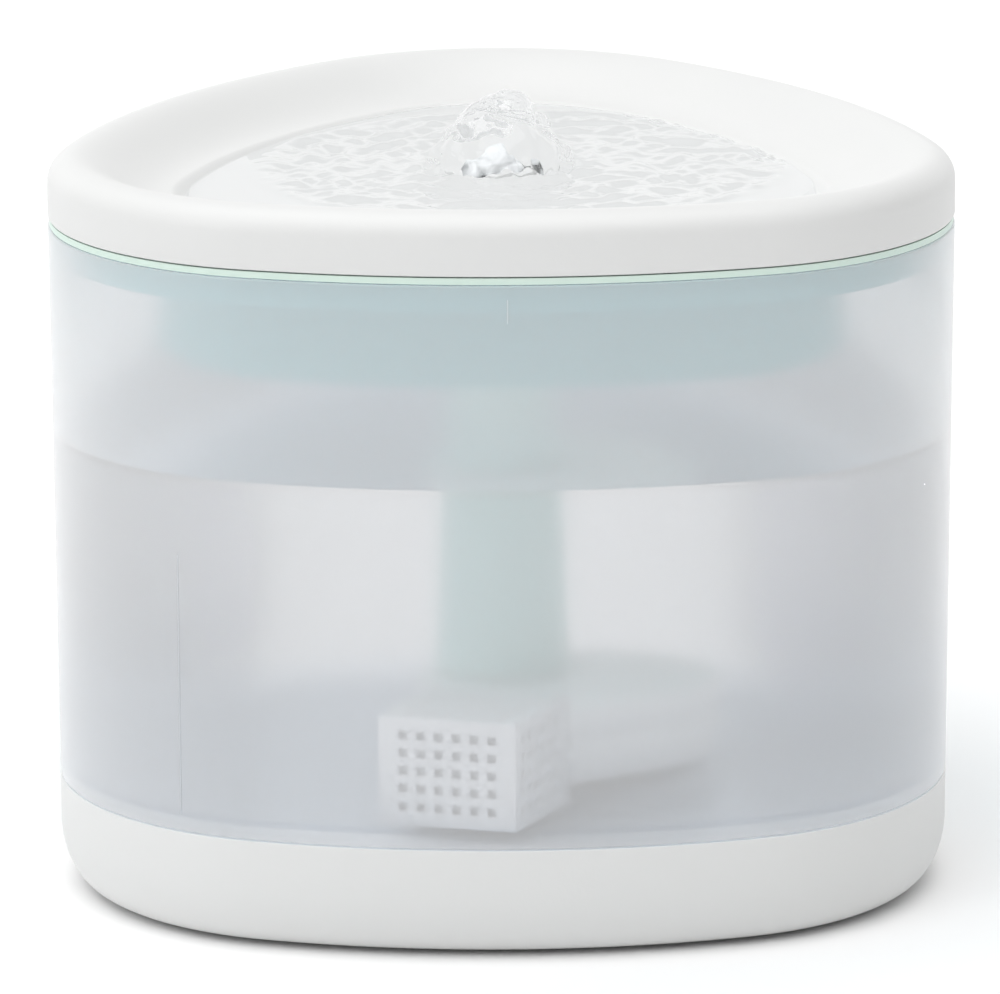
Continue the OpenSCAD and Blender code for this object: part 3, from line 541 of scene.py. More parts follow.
def dish_line(drop, steps=22):
    """The dish from the rim in to the pool's floor, lowered by drop."""
    lean, last_steps = 0.9, 8
    points = []
    for i in range(1, steps + 1):
        t = i / steps
        fall = POOL_EDGE_DROP * (1 - math.cos(math.pi * t**lean)) / 2
        points.append((LID_ROUND + t * (POOL_INSET - LID_ROUND), lid_top - fall - drop))
    for i in range(1, last_steps + 1):
        t = i / last_steps
        fall = POOL_EDGE_DROP + (POOL_DROP - POOL_EDGE_DROP) * (1 - math.cos(math.pi * t)) / 2
        points.append((POOL_INSET + t * POOL_STEP, lid_top - fall - drop))
    return points


def make_lid():
    edge = 0.4 * MM
    rib_in, rib_w, rib_l = 4.4 * MM, 1.5 * MM, 6 * MM
    haunch_low, haunch_high, under_from = 6.8 * MM, 4.2 * MM, 8 * MM
    rim_round = quarter(LID_ROUND, lid_top - LID_ROUND, LID_ROUND, LID_ROUND, 90, 180, 14)
    foot_round = quarter(edge, lid_foot + edge, edge, edge, 180, 270, 4)
    under_dish = [(inset, z) for inset, z in dish_line(DISH_T) if inset > under_from]
    outside = [*reversed(dish_line(0)), *rim_round, *foot_round]
    inside = [(LID_WALL, lid_foot), (LID_WALL, lid_top - haunch_low), (rib_in, lid_top - haunch_high)]
    inside += [(rib_in, lid_foot - rib_l), (rib_in + rib_w, lid_foot - rib_l)]
    inside += [(rib_in + rib_w, under_dish[0][1]), *under_dish]
    rings = [outline(*p) for p in outside + inside]
    under, guide_foot = pool_z - DISH_T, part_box("riser_tube")[1].z - GUIDE_LAP
    guide_in = GUIDE_R - GUIDE_WALL
    guide = [(GUIDE_R, under), (GUIDE_R, guide_foot), (guide_in, guide_foot), (guide_in, under)]
    rings += between(rings[-1], circle(GUIDE_R, under), 6) + [circle(*p) for p in guide]
    low, high = circle(SPOUT_HOLE_R, under), circle(SPOUT_HOLE_R, pool_z)
    rings += [low, high] + between(high, rings[0], 10)
    return loft("lid_dish", rings, True, 50)


lid = make_lid()
print("the pool is", round((lid_top - pool_z) / MM, 1), "mm below the rim")

# %% [markdown]
# ## Drain slots
# What the animal doesn't drink runs back to the filter through five slots at the front of the
# pool. A hole through a curved floor is a long job by hand and a short one with a boolean: a
# block in the slot's shape is placed five times, joined, and taken away in one go.

# %% Drain slots
def slot_tool(name, x, y, turn, length, width, z0, z1):
    """A block with round ends that cuts one drain slot."""
    end, half = 13, length / 2 - width / 2
    n = 2 * end
    a = np.radians(np.concatenate([np.linspace(-90, 90, end), np.linspace(90, 270, end)]))
    px = width / 2 * np.cos(a) + np.where(np.arange(n) < end, half, -half)
    py = width / 2 * np.sin(a)
    c, s = math.cos(turn), math.sin(turn)
    low = np.stack([x + px * c - py * s, y + px * s + py * c, np.full(n, z0)], axis=1)
    high = low.copy()
    high[:, 2] = z1
    verts, faces = loft_parts([low, high], False)
    faces += [tuple(reversed(range(n))), tuple(range(n, 2 * n))]
    return outward(new_object(name, verts, faces, False))


def slot_row():
    """The five drain slots at the front of the pool."""
    slots, length, width, inset, land = 5, 12 * MM, 3 * MM, 35 * MM, 6 * MM
    radius = side_r - inset
    tools = []
    for i in range(slots):
        turn = (i - (slots - 1) / 2) * (length + land) / radius
        x, y = radius * math.sin(turn), middle_y + side_away - radius * math.cos(turn)
        tools.append(slot_tool("slot", x, y, turn, length, width, pool_z - 2 * DISH_T, pool_z + DISH_T))
    return joined("slots", tools)


soften(cut(lid, slot_row()), 50)
dress(lid, satin_white, "lid", SLOTS["lid"], "lid")

# %% [markdown]
# ## Spout sleeve
# The water comes up through a short flanged sleeve in the dish's middle. A bevelled cylinder
# would nearly do, but a turned section names every step of the flange, so it is turned.

# %% Spout sleeve
SPOUT_BORE = 6.2 * MM


def make_spout():
    """A flanged sleeve, pressed into the dish from above."""
    low, high = (corner.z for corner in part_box("spout_nozzle"))
    play, flange, flange_t, edge = 0.05 * MM, 9.8 * MM, 1 * MM, 0.3 * MM
    sleeve = SPOUT_HOLE_R - play
    rows = [(SPOUT_BORE, low), (sleeve - edge, low), (sleeve, low + edge), (sleeve, high - flange_t)]
    rows += [(flange, high - flange_t)]
    rows += quarter(flange - edge, high - edge, edge, edge, 0, 90, 4)
    rows += quarter(SPOUT_BORE + edge, high - edge, edge, edge, 90, 180, 4)
    return turned("spout_sleeve", rows, angle=35)


dress(make_spout(), satin_white, "lid", SLOTS["spout_nozzle"], "spout_nozzle")

# %% [markdown]
# ## Base
# The base is a shallow tray turned upside down: an upright side that rounds in to the floor, and
# a flat deck that the tank stands on, with a raised disc over the coil. Blocks could be joined and
# rounded, but one loft that goes up the outside, in over the disc and back along the underside is
# closed from the start. Only the plug's opening is cut.

# %% Base
BASE_WALL = 2.4 * MM
BASE_ROUND_IN = 8 * MM
BASE_ROUND_UP = 14 * MM
TANK_DRAFT = 0.5 * MM
PLATE_INSET = 16 * MM
BOSS_H = 2 * MM
BOSS_R = 27 * MM
DOT = 0.5 * MM  # the smallest ring, which closes a disc in its middle
base_low, base_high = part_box("base_shell")
deck_z = base_high.z - BOSS_H
boss_mid = ((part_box("sending_coil")[0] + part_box("sending_coil")[1]) / 2).xy


def boss_ring(r, z):
    """A circle about the middle of the coil, where the deck's raised disc is."""
    return circle(r, z, *boss_mid)


def make_base():
    low, under, boss_z = base_low.z, deck_z - BASE_WALL, deck_z + BOSS_H
    edge, ease, play, lip_h = 0.35 * MM, 0.5 * MM, 0.3 * MM, 2.6 * MM
    lip, lift = PLATE_INSET - play, 0.2 * MM
    side, bend = TANK_DRAFT + BASE_ROUND_IN, low + BASE_ROUND_UP
    outside = [(lip, low), *quarter(side, bend, BASE_ROUND_IN, BASE_ROUND_UP, 270, 180, 18)]
    outside += quarter(TANK_DRAFT + edge, deck_z - edge, edge, edge, 180, 90, 4)
    outside += [(MIDDLE_INSET, deck_z)]
    boss = [(BOSS_R, deck_z), (BOSS_R, boss_z - ease), (BOSS_R - ease, boss_z)]
    rings = [outline(*p) for p in outside] + [boss_ring(*p) for p in boss]
    rings += between(rings[-1], boss_ring(DOT, boss_z), 3) + [boss_ring(DOT, boss_z)]
    hollow_r = BOSS_R - BASE_WALL
    hollow = [(DOT, under + BOSS_H), (hollow_r, under + BOSS_H), (hollow_r, under)]
    inside = [(MIDDLE_INSET, under), (TANK_DRAFT + BASE_WALL, under)]
    inside += quarter(side + BASE_WALL, bend + lift, BASE_ROUND_IN, BASE_ROUND_UP - lip_h, 180, 270, 10)
    inside += [(lip, low + lip_h)]
    rings += [boss_ring(*p) for p in hollow] + [outline(*p) for p in inside]
    return loft("base_case", rings, True, 50)


def inlet_tool():
    """Cuts the opening for the plug in the back of the base."""
    width, height, depth = 10 * MM, 4.2 * MM, 4 * MM
    low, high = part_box("power_inlet")
    tool = slot_tool("inlet_cut", 0, 0, 0, width, height, -depth, depth)
    place = Matrix.Translation((0, outline(TANK_DRAFT, 0)[:, 1].max(), (low.z + high.z) / 2))
    tool.data.transform(place @ Matrix.Rotation(math.radians(90), 4, "X"))
    return tool


base = soften(cut(make_base(), inlet_tool()), 50)
dress(base, satin_white, "base", SLOTS["base_shell"], "base_shell")

# %% [markdown]
# ## Tank
# The tank is moulded in a clear plastic whose outside is lightly frosted. Light goes through it
# and is only slightly spread, and a part of it is thrown back as a pale veil. Two ways offer
# themselves: rough glass alone, or rough glass mixed with a share of plain scatter. The second is
# right here, because what lies inside still shows, but in paler tones. Glass and water would throw
# hard, noisy shadows, so their finishes let lamplight straight through.

# %% Light that passes
def lamps_pass(material, through, inner=False):
    """Lets lamplight straight through a clear material, so that what is inside is lit cleanly.

    An inner face lies between two things that bend light alike, so all that has come in passes it."""
    tree = material.node_tree
    link = tree.links.new
    path = tree.nodes.new("ShaderNodeLightPath")
    clear = new_node(tree, "ShaderNodeBsdfTransparent", Color=(*through, 1))
    passes = tree.nodes.new("ShaderNodeMath")
    mix = tree.nodes.new("ShaderNodeMixShader")
    if inner:
        passes.operation = "SUBTRACT"
        passes.inputs[0].default_value = 1
        link(path.outputs["Is Camera Ray"], passes.inputs[1])
    else:
        passes.operation = "MAXIMUM"
        link(path.outputs["Is Shadow Ray"], passes.inputs[0])
        link(path.outputs["Is Diffuse Ray"], passes.inputs[1])
    link(passes.outputs[0], mix.inputs["Fac"])
    link(tree.nodes["Principled BSDF"].outputs[0], mix.inputs[1])
    link(clear.outputs[0], mix.inputs[2])
    link(mix.outputs[0], tree.nodes["Material Output"].inputs["Surface"])
    return material


def clear_water(name, tint, through=(0.99, 0.995, 1.0), inner=False):
    material, _, shader = new_material(name)
    set_inputs(shader, Base_Color=(*tint, 1), Transmission_Weight=1, IOR=1.333, Roughness=0)
    return lamps_pass(material, through, inner)


# The grey tints of still and rising water are painted shade: they darken the dish's pool and the mound,
# where clear water has hardly any colour
still_water = clear_water("still_water", (0.83, 0.84, 0.845))
rising_water = clear_water("rising_water", (0.88, 0.885, 0.89))
deep_water = clear_water("deep_water", (0.90, 0.94, 0.98))
water_side = clear_water("water_side", (0.8, 0.8, 0.8), through=(1, 1, 1), inner=True)
print("kinds of water:", still_water.name, rising_water.name, deep_water.name, water_side.name)

# %% Frosted plastic
def frosted(name, tint, rough, clear, ior, through, sheen=0.0, inner=False):
    """Clear plastic with a frosted skin. Lamps shine through it, tinted by through."""
    material, tree, shader = new_material(name)
    grain = new_node(tree, "ShaderNodeTexNoise", Scale=260.0, Detail=2.0)
    tree.links.new(object_place(tree), grain.inputs["Vector"])
    gloss_between(tree, shader, grain.outputs["Fac"], rough * 0.85, rough * 1.15)
    set_inputs(shader, Base_Color=(*tint, 1), Transmission_Weight=clear, IOR=ior)
    set_inputs(shader, Sheen_Weight=sheen, Sheen_Roughness=0.6)
    return lamps_pass(material, through, inner)


# Lamplight that passes the frost comes out dimmer and bluer than a view through it: this through colour is
# painted shade, a blue-grey cast on everything inside the tank
FROST = dict(tint=(0.84, 0.84, 0.85), rough=0.25, clear=0.55, through=(0.87, 0.9, 0.945), sheen=0.5)
DRY = dict(tint=(0.95, 0.96, 0.97), rough=0.14, clear=0.97, ior=1.46)
WET = dict(tint=(0.97, 0.98, 0.99), rough=0.05, clear=0.97, ior=1.33, inner=True)
frost = frosted("frost", ior=1.46, **FROST)
low_frost = frosted("frost_on_water", ior=1.35, **FROST)
dry_skin = frosted("tank_inside_dry", through=(0.95, 0.96, 0.97), **DRY)
wet_skin = frosted("tank_inside_wet", through=(0.985, 0.99, 0.995), **WET)
# The floor's inner skin passes less and bluer light than the walls' skin: painted blue-grey shade on the
# tank's floor and the deck seen through it
floor_shade_skin = frosted("tank_inside_floor", through=(0.82, 0.865, 0.91), **WET)
TANK_FINISHES = (frost, dry_skin, wet_skin, low_frost, floor_shade_skin)
print("the tank's finishes:", [m.name for m in TANK_FINISHES])

# %% Tank
TANK_WALL = 2.2 * MM
TANK_FLOOR_T = 2.4 * MM
TANK_HEEL = 2 * MM
RECESS_R = BOSS_R + 0.4 * MM
WATER_TOP = 105.5 * MM
DRY_INSIDE, WET_INSIDE, LOW_OUTSIDE, WET_FLOOR = 1, 2, 3, 4  # places in TANK_FINISHES
tank_low, tank_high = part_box("tank")
floor_z = tank_low.z + TANK_FLOOR_T
pad_z = floor_z + BOSS_H


def draft_at(z, foot):
    """How far the slant draws a wall in at height z, if the wall starts at foot."""
    return TANK_DRAFT * (1 - (z - foot) / (tank_high.z - foot))


def paint_rings(obj, rings, index):
    """Gives the faces that start at the named rings of a loft another of its materials."""
    for ring in rings:
        for face in obj.data.polygons[ring * len(ARCS) : (ring + 1) * len(ARCS)]:
            face.material_index = index


def make_tank():
    """The outside from the floor up, over the lip, down the inside and in to the floor's middle."""
    lip, foot, heel, steps = 0.5 * MM, 0.4 * MM, TANK_HEEL, 6
    outside = [(MIDDLE_INSET, tank_low.z), (TANK_DRAFT + foot, tank_low.z)]
    outside += quarter(TANK_DRAFT + foot, tank_low.z + foot, foot, foot, 270, 180, 3)[1:]
    wet, dry = np.linspace(tank_low.z, WATER_TOP, steps + 1), np.linspace(WATER_TOP, tank_high.z, 4)
    outside += [(draft_at(z, tank_low.z), z) for z in (*wet[1:], *dry[1:3])]
    brim = len(outside) - 3
    outside += quarter(lip, tank_high.z - lip, lip, lip, 180, 90, 3)
    inside = quarter(TANK_WALL - lip, tank_high.z - lip, lip, lip, 90, 0, 3)
    line = len(outside) + len(inside)
    wet = np.linspace(WATER_TOP, floor_z, steps + 1)[:-1]
    inside += [(TANK_WALL + draft_at(z, floor_z), z) for z in wet]
    inside += quarter(TANK_WALL + TANK_DRAFT + heel, floor_z + heel, heel, heel, 180, 270, 5)
    inside += [(MIDDLE_INSET, floor_z)]
    recess_z, pad_r = tank_low.z + BOSS_H, RECESS_R + TANK_WALL
    hub = [(pad_r, floor_z), (pad_r, pad_z), (DOT, pad_z)]
    hub += [(DOT, recess_z), (RECESS_R, recess_z), (RECESS_R, tank_low.z)]
    rings = [outline(*p) for p in outside + inside] + [boss_ring(*p) for p in hub]
    tank, last = loft("tank_shell", rings, True, 50), len(rings)
    paint_rings(tank, range(len(outside) - 1, line), DRY_INSIDE)
    paint_rings(tank, range(line, line + steps), WET_INSIDE)
    paint_rings(tank, range(line + steps, last - 4), WET_FLOOR)
    paint_rings(tank, [*range(brim), *range(last - 4, last)], LOW_OUTSIDE)
    return tank


dress(make_tank(), TANK_FINISHES, "tank", SLOTS["tank"], "tank")

# %% [markdown]
# ## Marks of the mould
# The two halves of a mould leave a hair of a line where they meet, and the gate that lets the plastic in
# leaves a short tick. Paint would do for both, but a thin ridge also catches the light; the ridges' pale,
# opaque colour is a painted highlight on top of that.

# %% Marks of the mould
MARKS = (
    ("mould_line", -70.6 * MM, tank_low.z + 4 * MM, 88 * MM, 0.1 * MM, 0.04 * MM),
    ("gate_tick", 0.6 * MM, 142.4 * MM, 147.6 * MM, 0.24 * MM, 0.05 * MM),
)


def ridge(name, x, z0, z1, width, proud):
    """A thin upright ridge on the tank's front, at x."""
    deep, steps = 0.15 * MM, 8
    wall = outline(0, 0)
    front = wall[wall[:, 1] < middle_y]
    front = front[np.argsort(front[:, 0])]
    left, right = x - width / 2, x + width / 2
    rows = []
    for z in np.linspace(z0, z1, steps):
        y0, y1 = np.interp((left, right), front[:, 0], front[:, 1]) + draft_at(z, tank_low.z)
        section = ((left, y0 + deep), (left, y0 - proud), (right, y1 - proud), (right, y1 + deep))
        rows.append(np.array([(*corner, z) for corner in section]))
    verts, faces = loft_parts(rows, False)
    faces += [(3, 2, 1, 0), tuple(len(verts) - 4 + i for i in range(4))]
    return outward(new_object(name, verts, faces, False))


# the marks' pale opaque colour is a painted highlight, where clear plastic would only catch the light
mark_frost = moulded("mark_frost", (0.62, 0.65, 0.66), rough=0.5)
for mark in MARKS:
    dress(ridge(*mark), mark_frost, "tank", SLOTS["tank"])

# %% [markdown]
# ## Filter tray and riser
# The mint tray hangs in the tank's mouth. Only the edge of its flange shows from outside, as a
# thin ring under the lid; the basket below holds the filter. Flange, shelf, basket and collar
# could be made one by one, but a mould fills them in one shot, so one loft goes round all of them.
# The basket lies in the lid's shade, so its rings get a darker, bluer mint than the flange: painted shade
# on one and the same plastic.

# %% Filter tray
TRAY_WALL = 1.4 * MM
FLANGE_T = 1.4 * MM
SHELF_DEPTH = 8 * MM
BASKET_INSET = 23 * MM
BASKET_DEPTH = 30 * MM
SKIRT_IN = 2.6 * MM
COLLAR_TOP_R = 19 * MM
COLLAR_H = 9 * MM
RISER_R = 11 * MM
flange_z = tray_top - FLANGE_T
shelf_z = tray_top - SHELF_DEPTH
basket_z = tray_top - BASKET_DEPTH


def make_tray():
    """The tray's skin, and the rings of it that are the basket."""
    bend, hem, middle, slack = 1.2 * MM, 0.3 * MM, 32 * MM, 0.05 * MM
    wall, shelf, floor = TRAY_WALL, shelf_z + TRAY_WALL, basket_z + TRAY_WALL
    drop_in, hole, foot = BASKET_INSET + wall, RISER_R + slack, basket_z - COLLAR_H
    rows = [(hem, flange_z), (hem, tray_top), (SKIRT_IN + wall, tray_top), (SKIRT_IN + wall, shelf)]
    basket_from = len(rows)
    rows += [(drop_in - bend, shelf), *quarter(drop_in - bend, shelf - bend, bend, bend, 90, 0, 4)]
    rows += [(drop_in, floor), (middle, floor)]
    inner = [outline(*p) for p in rows]
    collar = [(hole, floor), (hole, foot), (hole + wall, foot), (COLLAR_TOP_R, basket_z)]
    collar = [circle(*p) for p in collar]
    rows = [(middle, basket_z), (BASKET_INSET + bend, basket_z)]
    rows += quarter(BASKET_INSET + bend, basket_z + bend, bend, bend, 270, 180, 4)
    rows += [(BASKET_INSET, shelf_z), (SKIRT_IN, shelf_z), (SKIRT_IN, flange_z)]
    outer = [outline(*p) for p in rows]
    rings = inner + between(inner[-1], collar[0], 3) + collar + between(collar[-1], outer[0], 3) + outer
    return loft("tray_basket", rings, True, 35), range(basket_from, len(rings) - 1)


def tray_slots():
    """Sixteen drain slots in rays about the riser."""
    count, length, width, land = 16, 24 * MM, 3 * MM, 4 * MM
    away = COLLAR_TOP_R + land + length / 2
    tools = []
    for i in range(count):
        a = 2 * math.pi * (i + 0.5) / count
        x, y = away * math.cos(a), middle_y + away * math.sin(a)
        tools.append(slot_tool("ray", x, y, a, length, width, basket_z - 3 * MM, basket_z + 4 * MM))
    return joined("rays", tools)


tray, basket_rings = make_tray()
for finish in (mint, deep_mint):
    tray.data.materials.append(finish)
# the basket's rings get the painted shade
paint_rings(tray, basket_rings, 1)
soften(cut(tray, tray_slots()), 35)
dress(tray, (mint, deep_mint), "tray", SLOTS["filter_tray"], "filter_tray")

# %% [markdown]
# ## Riser
# The riser is the column that carries the water up from the pump. A plain cylinder would do from
# afar, but a turned section also gives its wider foot and the shoulder that it hangs by.

# %% Riser
riser_low, riser_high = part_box("riser_tube")
RISER_BORE = 9 * MM
RISER_FLARE = 2 * MM
SHOULDER_R = 14 * MM
SHOULDER_T = 1.6 * MM


def make_riser():
    """A column that narrows up to the tray's collar and hangs in it by a shoulder."""
    low, high, edge, steps = riser_low.z, riser_high.z, 0.5 * MM, 8
    grip, shoulder, foot_r = basket_z - COLLAR_H - 1 * MM, basket_z + TRAY_WALL, RISER_R + RISER_FLARE
    rows = [(RISER_BORE, low + edge), (RISER_BORE + edge, low), (foot_r - edge, low), (foot_r, low + edge)]
    for i in range(1, steps + 1):
        rows.append((RISER_R + RISER_FLARE * (1 - i / steps), low + (grip - low) * i / steps))
    rows += [(RISER_R, shoulder), (SHOULDER_R, shoulder), (SHOULDER_R, shoulder + SHOULDER_T)]
    rows += [(RISER_R, shoulder + SHOULDER_T), (RISER_R, high - edge), (RISER_R - edge, high)]
    rows += [(RISER_BORE + edge, high), (RISER_BORE, high - edge)]
    return turned("riser_column", rows, angle=35)


dress(make_riser(), riser_mint, "tray", SLOTS["riser_tube"], "riser_tube")

# %% [markdown]
# ## Water
# Still water fills the tank to a line. It could be one solid, but then light would bend at every
# one of its sides, and behind frost that makes it far too dark. So it is two: a thin top layer that
# bends light and mirrors the tray, and the rest, which light goes straight through. Water that
# stops short of the wall would show a film of air, so the rest reaches a hair into the plastic.

# %% Water in the tank
WATER_SKIN = 1.6 * MM
SKIN_GAP = 0.05 * MM
OVERLAP = 0.15 * MM
SHORT = 0.02 * MM


def water_inset(z, overlap=OVERLAP):
    """How far in from the outline the water ends at height z."""
    return TANK_WALL + draft_at(z, floor_z) - overlap


def make_tank_water():
    low, top, pad, heel = floor_z - OVERLAP, WATER_TOP - WATER_SKIN - SKIN_GAP, pad_z - OVERLAP, TANK_HEEL
    rows = [(MIDDLE_INSET, low), *quarter(water_inset(low) + heel, low + heel, heel, heel, 270, 180, 5)]
    rows += [(water_inset(top), top), (MIDDLE_INSET, top)]
    pad_r = RECESS_R + TANK_WALL - OVERLAP
    hub = [(DOT, top), (DOT, pad), (pad_r, pad), (pad_r, low)]
    return loft("tank_water", [outline(*p) for p in rows] + [boss_ring(*p) for p in hub], True, 50)


def make_water_top():
    """The top layer, which is all of the water that still bends light once it is inside.

    It stops a hair short of the wall: a ledge of it in the plastic would draw a dark line."""
    low, top = WATER_TOP - WATER_SKIN, WATER_TOP
    rows = [(MIDDLE_INSET, low), (water_inset(low, -SHORT), low)]
    rows += [(water_inset(top, -SHORT), top), (MIDDLE_INSET, top)]
    rings = [outline(*p) for p in rows] + [circle(DOT, top), circle(DOT, low)]
    layer = loft("tank_water_top", rings, True, 50)
    paint_rings(layer, [0, 1, len(rings) - 1], 1)
    return layer


tank_water = dress(make_tank_water(), water_side, "tank")
tank_water.visible_transmission = tank_water.visible_glossy = False
tank_water.visible_diffuse = tank_water.visible_shadow = False
dress(make_water_top(), (deep_water, water_side), "tank")

# %% [markdown]
# ## Water in the dish
# The pump pushes water up through the spout. It stands up as a clear mound, falls back and
# ruffles the shallow pool round it. The pool is a height field on rings that follow the outline:
# three scales of noise and some bent rings make the ripples, which end well before the corners. The
# mound is a heap of balls, remeshed into one skin, notched on one side and crumpled by noise. It
# could be poured as a simulated fluid, but that would take long and fall differently each time.

# %% Pool
WATER_LEVEL = 157.6 * MM
WATER_LEAN = 0.55 / 65
POOL_ARCS = outline_arcs(84, 84)
RIPPLE_REACH = 62
RIPPLE_MID = (5, 4)
RIPPLES = ((0.7, 9.0, 8.0, 2.6), (0.55, 4.8, 4.0, 4.1), (0.14, 2.0, 1.8, 0.7))


def swelling(away, middle, width, height):
    """A round-topped rise that is highest at one distance and fades out over width."""
    return height * math.exp(-(((away - middle) / width) ** 2))


def pool_height(x, y):
    """How high the water's skin stands at a point. Lengths in here are in millimetres.

    A ripple is its height, its size along x and y, and the layer of the noise that it takes."""
    px, py = x / MM, (y - middle_y) / MM
    ring_gap, ring_height, ring_bend, shore_width = 8.0, 0.26, 0.8, 8
    away, from_spout = math.hypot(px - RIPPLE_MID[0], py - RIPPLE_MID[1]), math.hypot(px, py)
    calm = min(1.0, max(0.0, (RIPPLE_REACH - away) / shore_width))
    calm = calm * calm * (3 - 2 * calm)
    ripple = sum(up * noise.noise((px / wide, py / deep, layer)) for up, wide, deep, layer in RIPPLES)
    bend = ring_bend * noise.noise((px / 16, py / 16, 9.3))
    ripple += ring_height * math.sin(2 * math.pi * (away / ring_gap + bend))
    heave = swelling(from_spout, 0, 14, 3.2)
    lumps = swelling(from_spout, 15, 4, 2.6) * noise.noise((px / 4.0, py / 4.0, 6.2))
    front = swelling(away, RIPPLE_REACH - 3, 2.5, 0.35)
    return WATER_LEVEL + WATER_LEAN * x + (calm * ripple + heave + lumps + front) * MM


def make_pool():
    """The water's skin from its shore to the middle, and back along the dish a hair below it."""
    shore, shallow_to, step, hub_r = 17 * MM, 31 * MM, 0.7 * MM, 1 * MM
    film, sunk = 0.08 * MM, 0.3 * MM
    dish = dish_line(0, 40)
    insets, heights = [p[0] for p in dish], [p[1] for p in dish]
    steps = np.arange(shore, shallow_to, step)
    rings = [outline(inset, np.interp(inset, insets, heights), POOL_ARCS) for inset in steps]
    hub = circle(hub_r, WATER_LEVEL, arcs=POOL_ARCS)
    rings += between(rings[-1], hub, 104) + [hub]
    for k, ring in enumerate(rings):
        skin = [pool_height(x, y) for x, y, _ in ring]
        ring[:, 2] = np.minimum(skin, ring[:, 2] - film) if k < len(steps) else skin
    bed = [circle(hub_r, pool_z - 0.2 * MM, arcs=POOL_ARCS)]
    bed += [outline(inset, z - sunk, POOL_ARCS) for inset, z in reversed(dish) if inset > shore - 0.1 * MM]
    return loft("pool_water", rings + bed, True, 180)


pool = make_pool()
tops = [v.co.z for v in pool.data.vertices]
print("the pool's water reaches", round((max(tops) - pool_z) / MM, 1), "mm above its floor")

# %% Skins that are remeshed and crumpled
FOLDS = ((5.0, 1.3), (2.6, 0.42))


def remeshed(obj, voxel, smoothing):
    """One clean skin round everything in obj, in cells of about voxel."""
    remesh = obj.modifiers.new("remesh", "REMESH")
    remesh.mode, remesh.voxel_size = "VOXEL", voxel
    smooth = obj.modifiers.new("smooth", "SMOOTH")
    smooth.factor, smooth.iterations = 0.5, smoothing
    return applied(obj)


def crumpled(obj, folds):
    """Pushes the skin in and out by noise; folds are pairs of size and depth in millimetres."""
    normals = [v.normal.copy() for v in obj.data.vertices]
    for v, normal in zip(obj.data.vertices, normals):
        p = v.co / MM
        v.co += normal * sum(depth * noise.noise(p / size) for size, depth in folds) * MM
    return obj


def trimmed(obj, z):
    """Cuts off what lies below z and closes the cut."""
    bm = bmesh.new()
    bm.from_mesh(obj.data)
    everything, up = bm.verts[:] + bm.edges[:] + bm.faces[:], (0, 0, 1)
    made = bmesh.ops.bisect_plane(bm, geom=everything, plane_co=(0, 0, z), plane_no=up, clear_inner=True)
    edges = [e for e in made["geom_cut"] if isinstance(e, bmesh.types.BMEdge)]
    bmesh.ops.contextual_create(bm, geom=edges)
    bm.to_mesh(obj.data)
    bm.free()
    return obj


print("the mound's folds are up to", sum(depth for _, depth in FOLDS), "mm deep")

# %% Mound
# each ball's place from the water's level over the spout, and its radius, in millimetres
MOUND = (
    (0, 0, -2, 15), (-1, 0, 3.5, 11.6), (0.5, 0.5, 7.5, 8.6), (1.2, 0.5, 10.8, 6.2),
    (1.6, 0.5, 13.2, 4.3), (-7.5, -1, 5.5, 4.8), (-11.5, -1, 1.8, 4.2), (-14, -1, 0, 3.0),
    (7.8, -1, 5.0, 5.0), (12.2, -1, 1.3, 4.4), (5.3, -8.0, 6.0, 2.1), (1.0, -9.5, 1.4, 3.6),
    (7.4, 2, 8.4, 3.6), (-4, -8.0, 2.6, 3.4), (-9, -7, 0.4, 3.2),
)
NOTCH = (2.6, -4.6, 12.6)
NOTCH_SIZE = (5.6 * MM, 4.4 * MM, 1.3 * MM, 1)
NOTCH_TILT = math.radians(12)


def over_spout(x, y, z):
    """A place given in millimetres from the water's level over the spout."""
    return (x * MM, middle_y + y * MM, WATER_LEVEL + z * MM)


def make_mound():
    balls = []
    for *place, r in MOUND:
        bpy.ops.mesh.primitive_ico_sphere_add(subdivisions=4, radius=r * MM, location=over_spout(*place))
        balls.append(bpy.context.object)
    mound = remeshed(joined("water_mound", balls), 0.5 * MM, 3)
    bpy.ops.mesh.primitive_uv_sphere_add(segments=48, ring_count=24, radius=1)
    notch, tilt = bpy.context.object, Matrix.Rotation(NOTCH_TILT, 4, "Y")
    notch.data.transform(Matrix.Translation(over_spout(*NOTCH)) @ tilt @ Matrix.Diagonal(NOTCH_SIZE))
    cut(mound, notch)
    mound = trimmed(remeshed(crumpled(mound, FOLDS), 0.4 * MM, 1), pool_z - 0.1 * MM)
    mound.data.polygons.foreach_set("material_index", [1] * len(mound.data.polygons))
    return mound


def united(name, first, second):
    """Makes one closed skin of two bodies of water that run into each other."""
    step = first.modifiers.new("unite", "BOOLEAN")
    step.operation, step.solver, step.object = "UNION", "MANIFOLD", second
    applied(first)
    bpy.data.objects.remove(second)
    first.name = first.data.name = name
    return soften(outward(first), 180)


dress(united("dish_water", pool, make_mound()), (still_water, rising_water), "lid")

# %% [markdown]
# ## Froth
# Water that is pushed up carries fine air bubbles, which look white where they crowd the outlet.
# Thousands of bubbles would cost a lot for a speck, so a heap of small balls is remeshed into one
# lumpy skin. Each ball is turned on from the last by the golden angle, which spreads them evenly.

# %% Froth over the spout
FROTH_BALLS = 34
FROTH_REACH = 4.9 * MM
FROTH_PEAK = 3.4
GOLDEN_TURN = 2.4


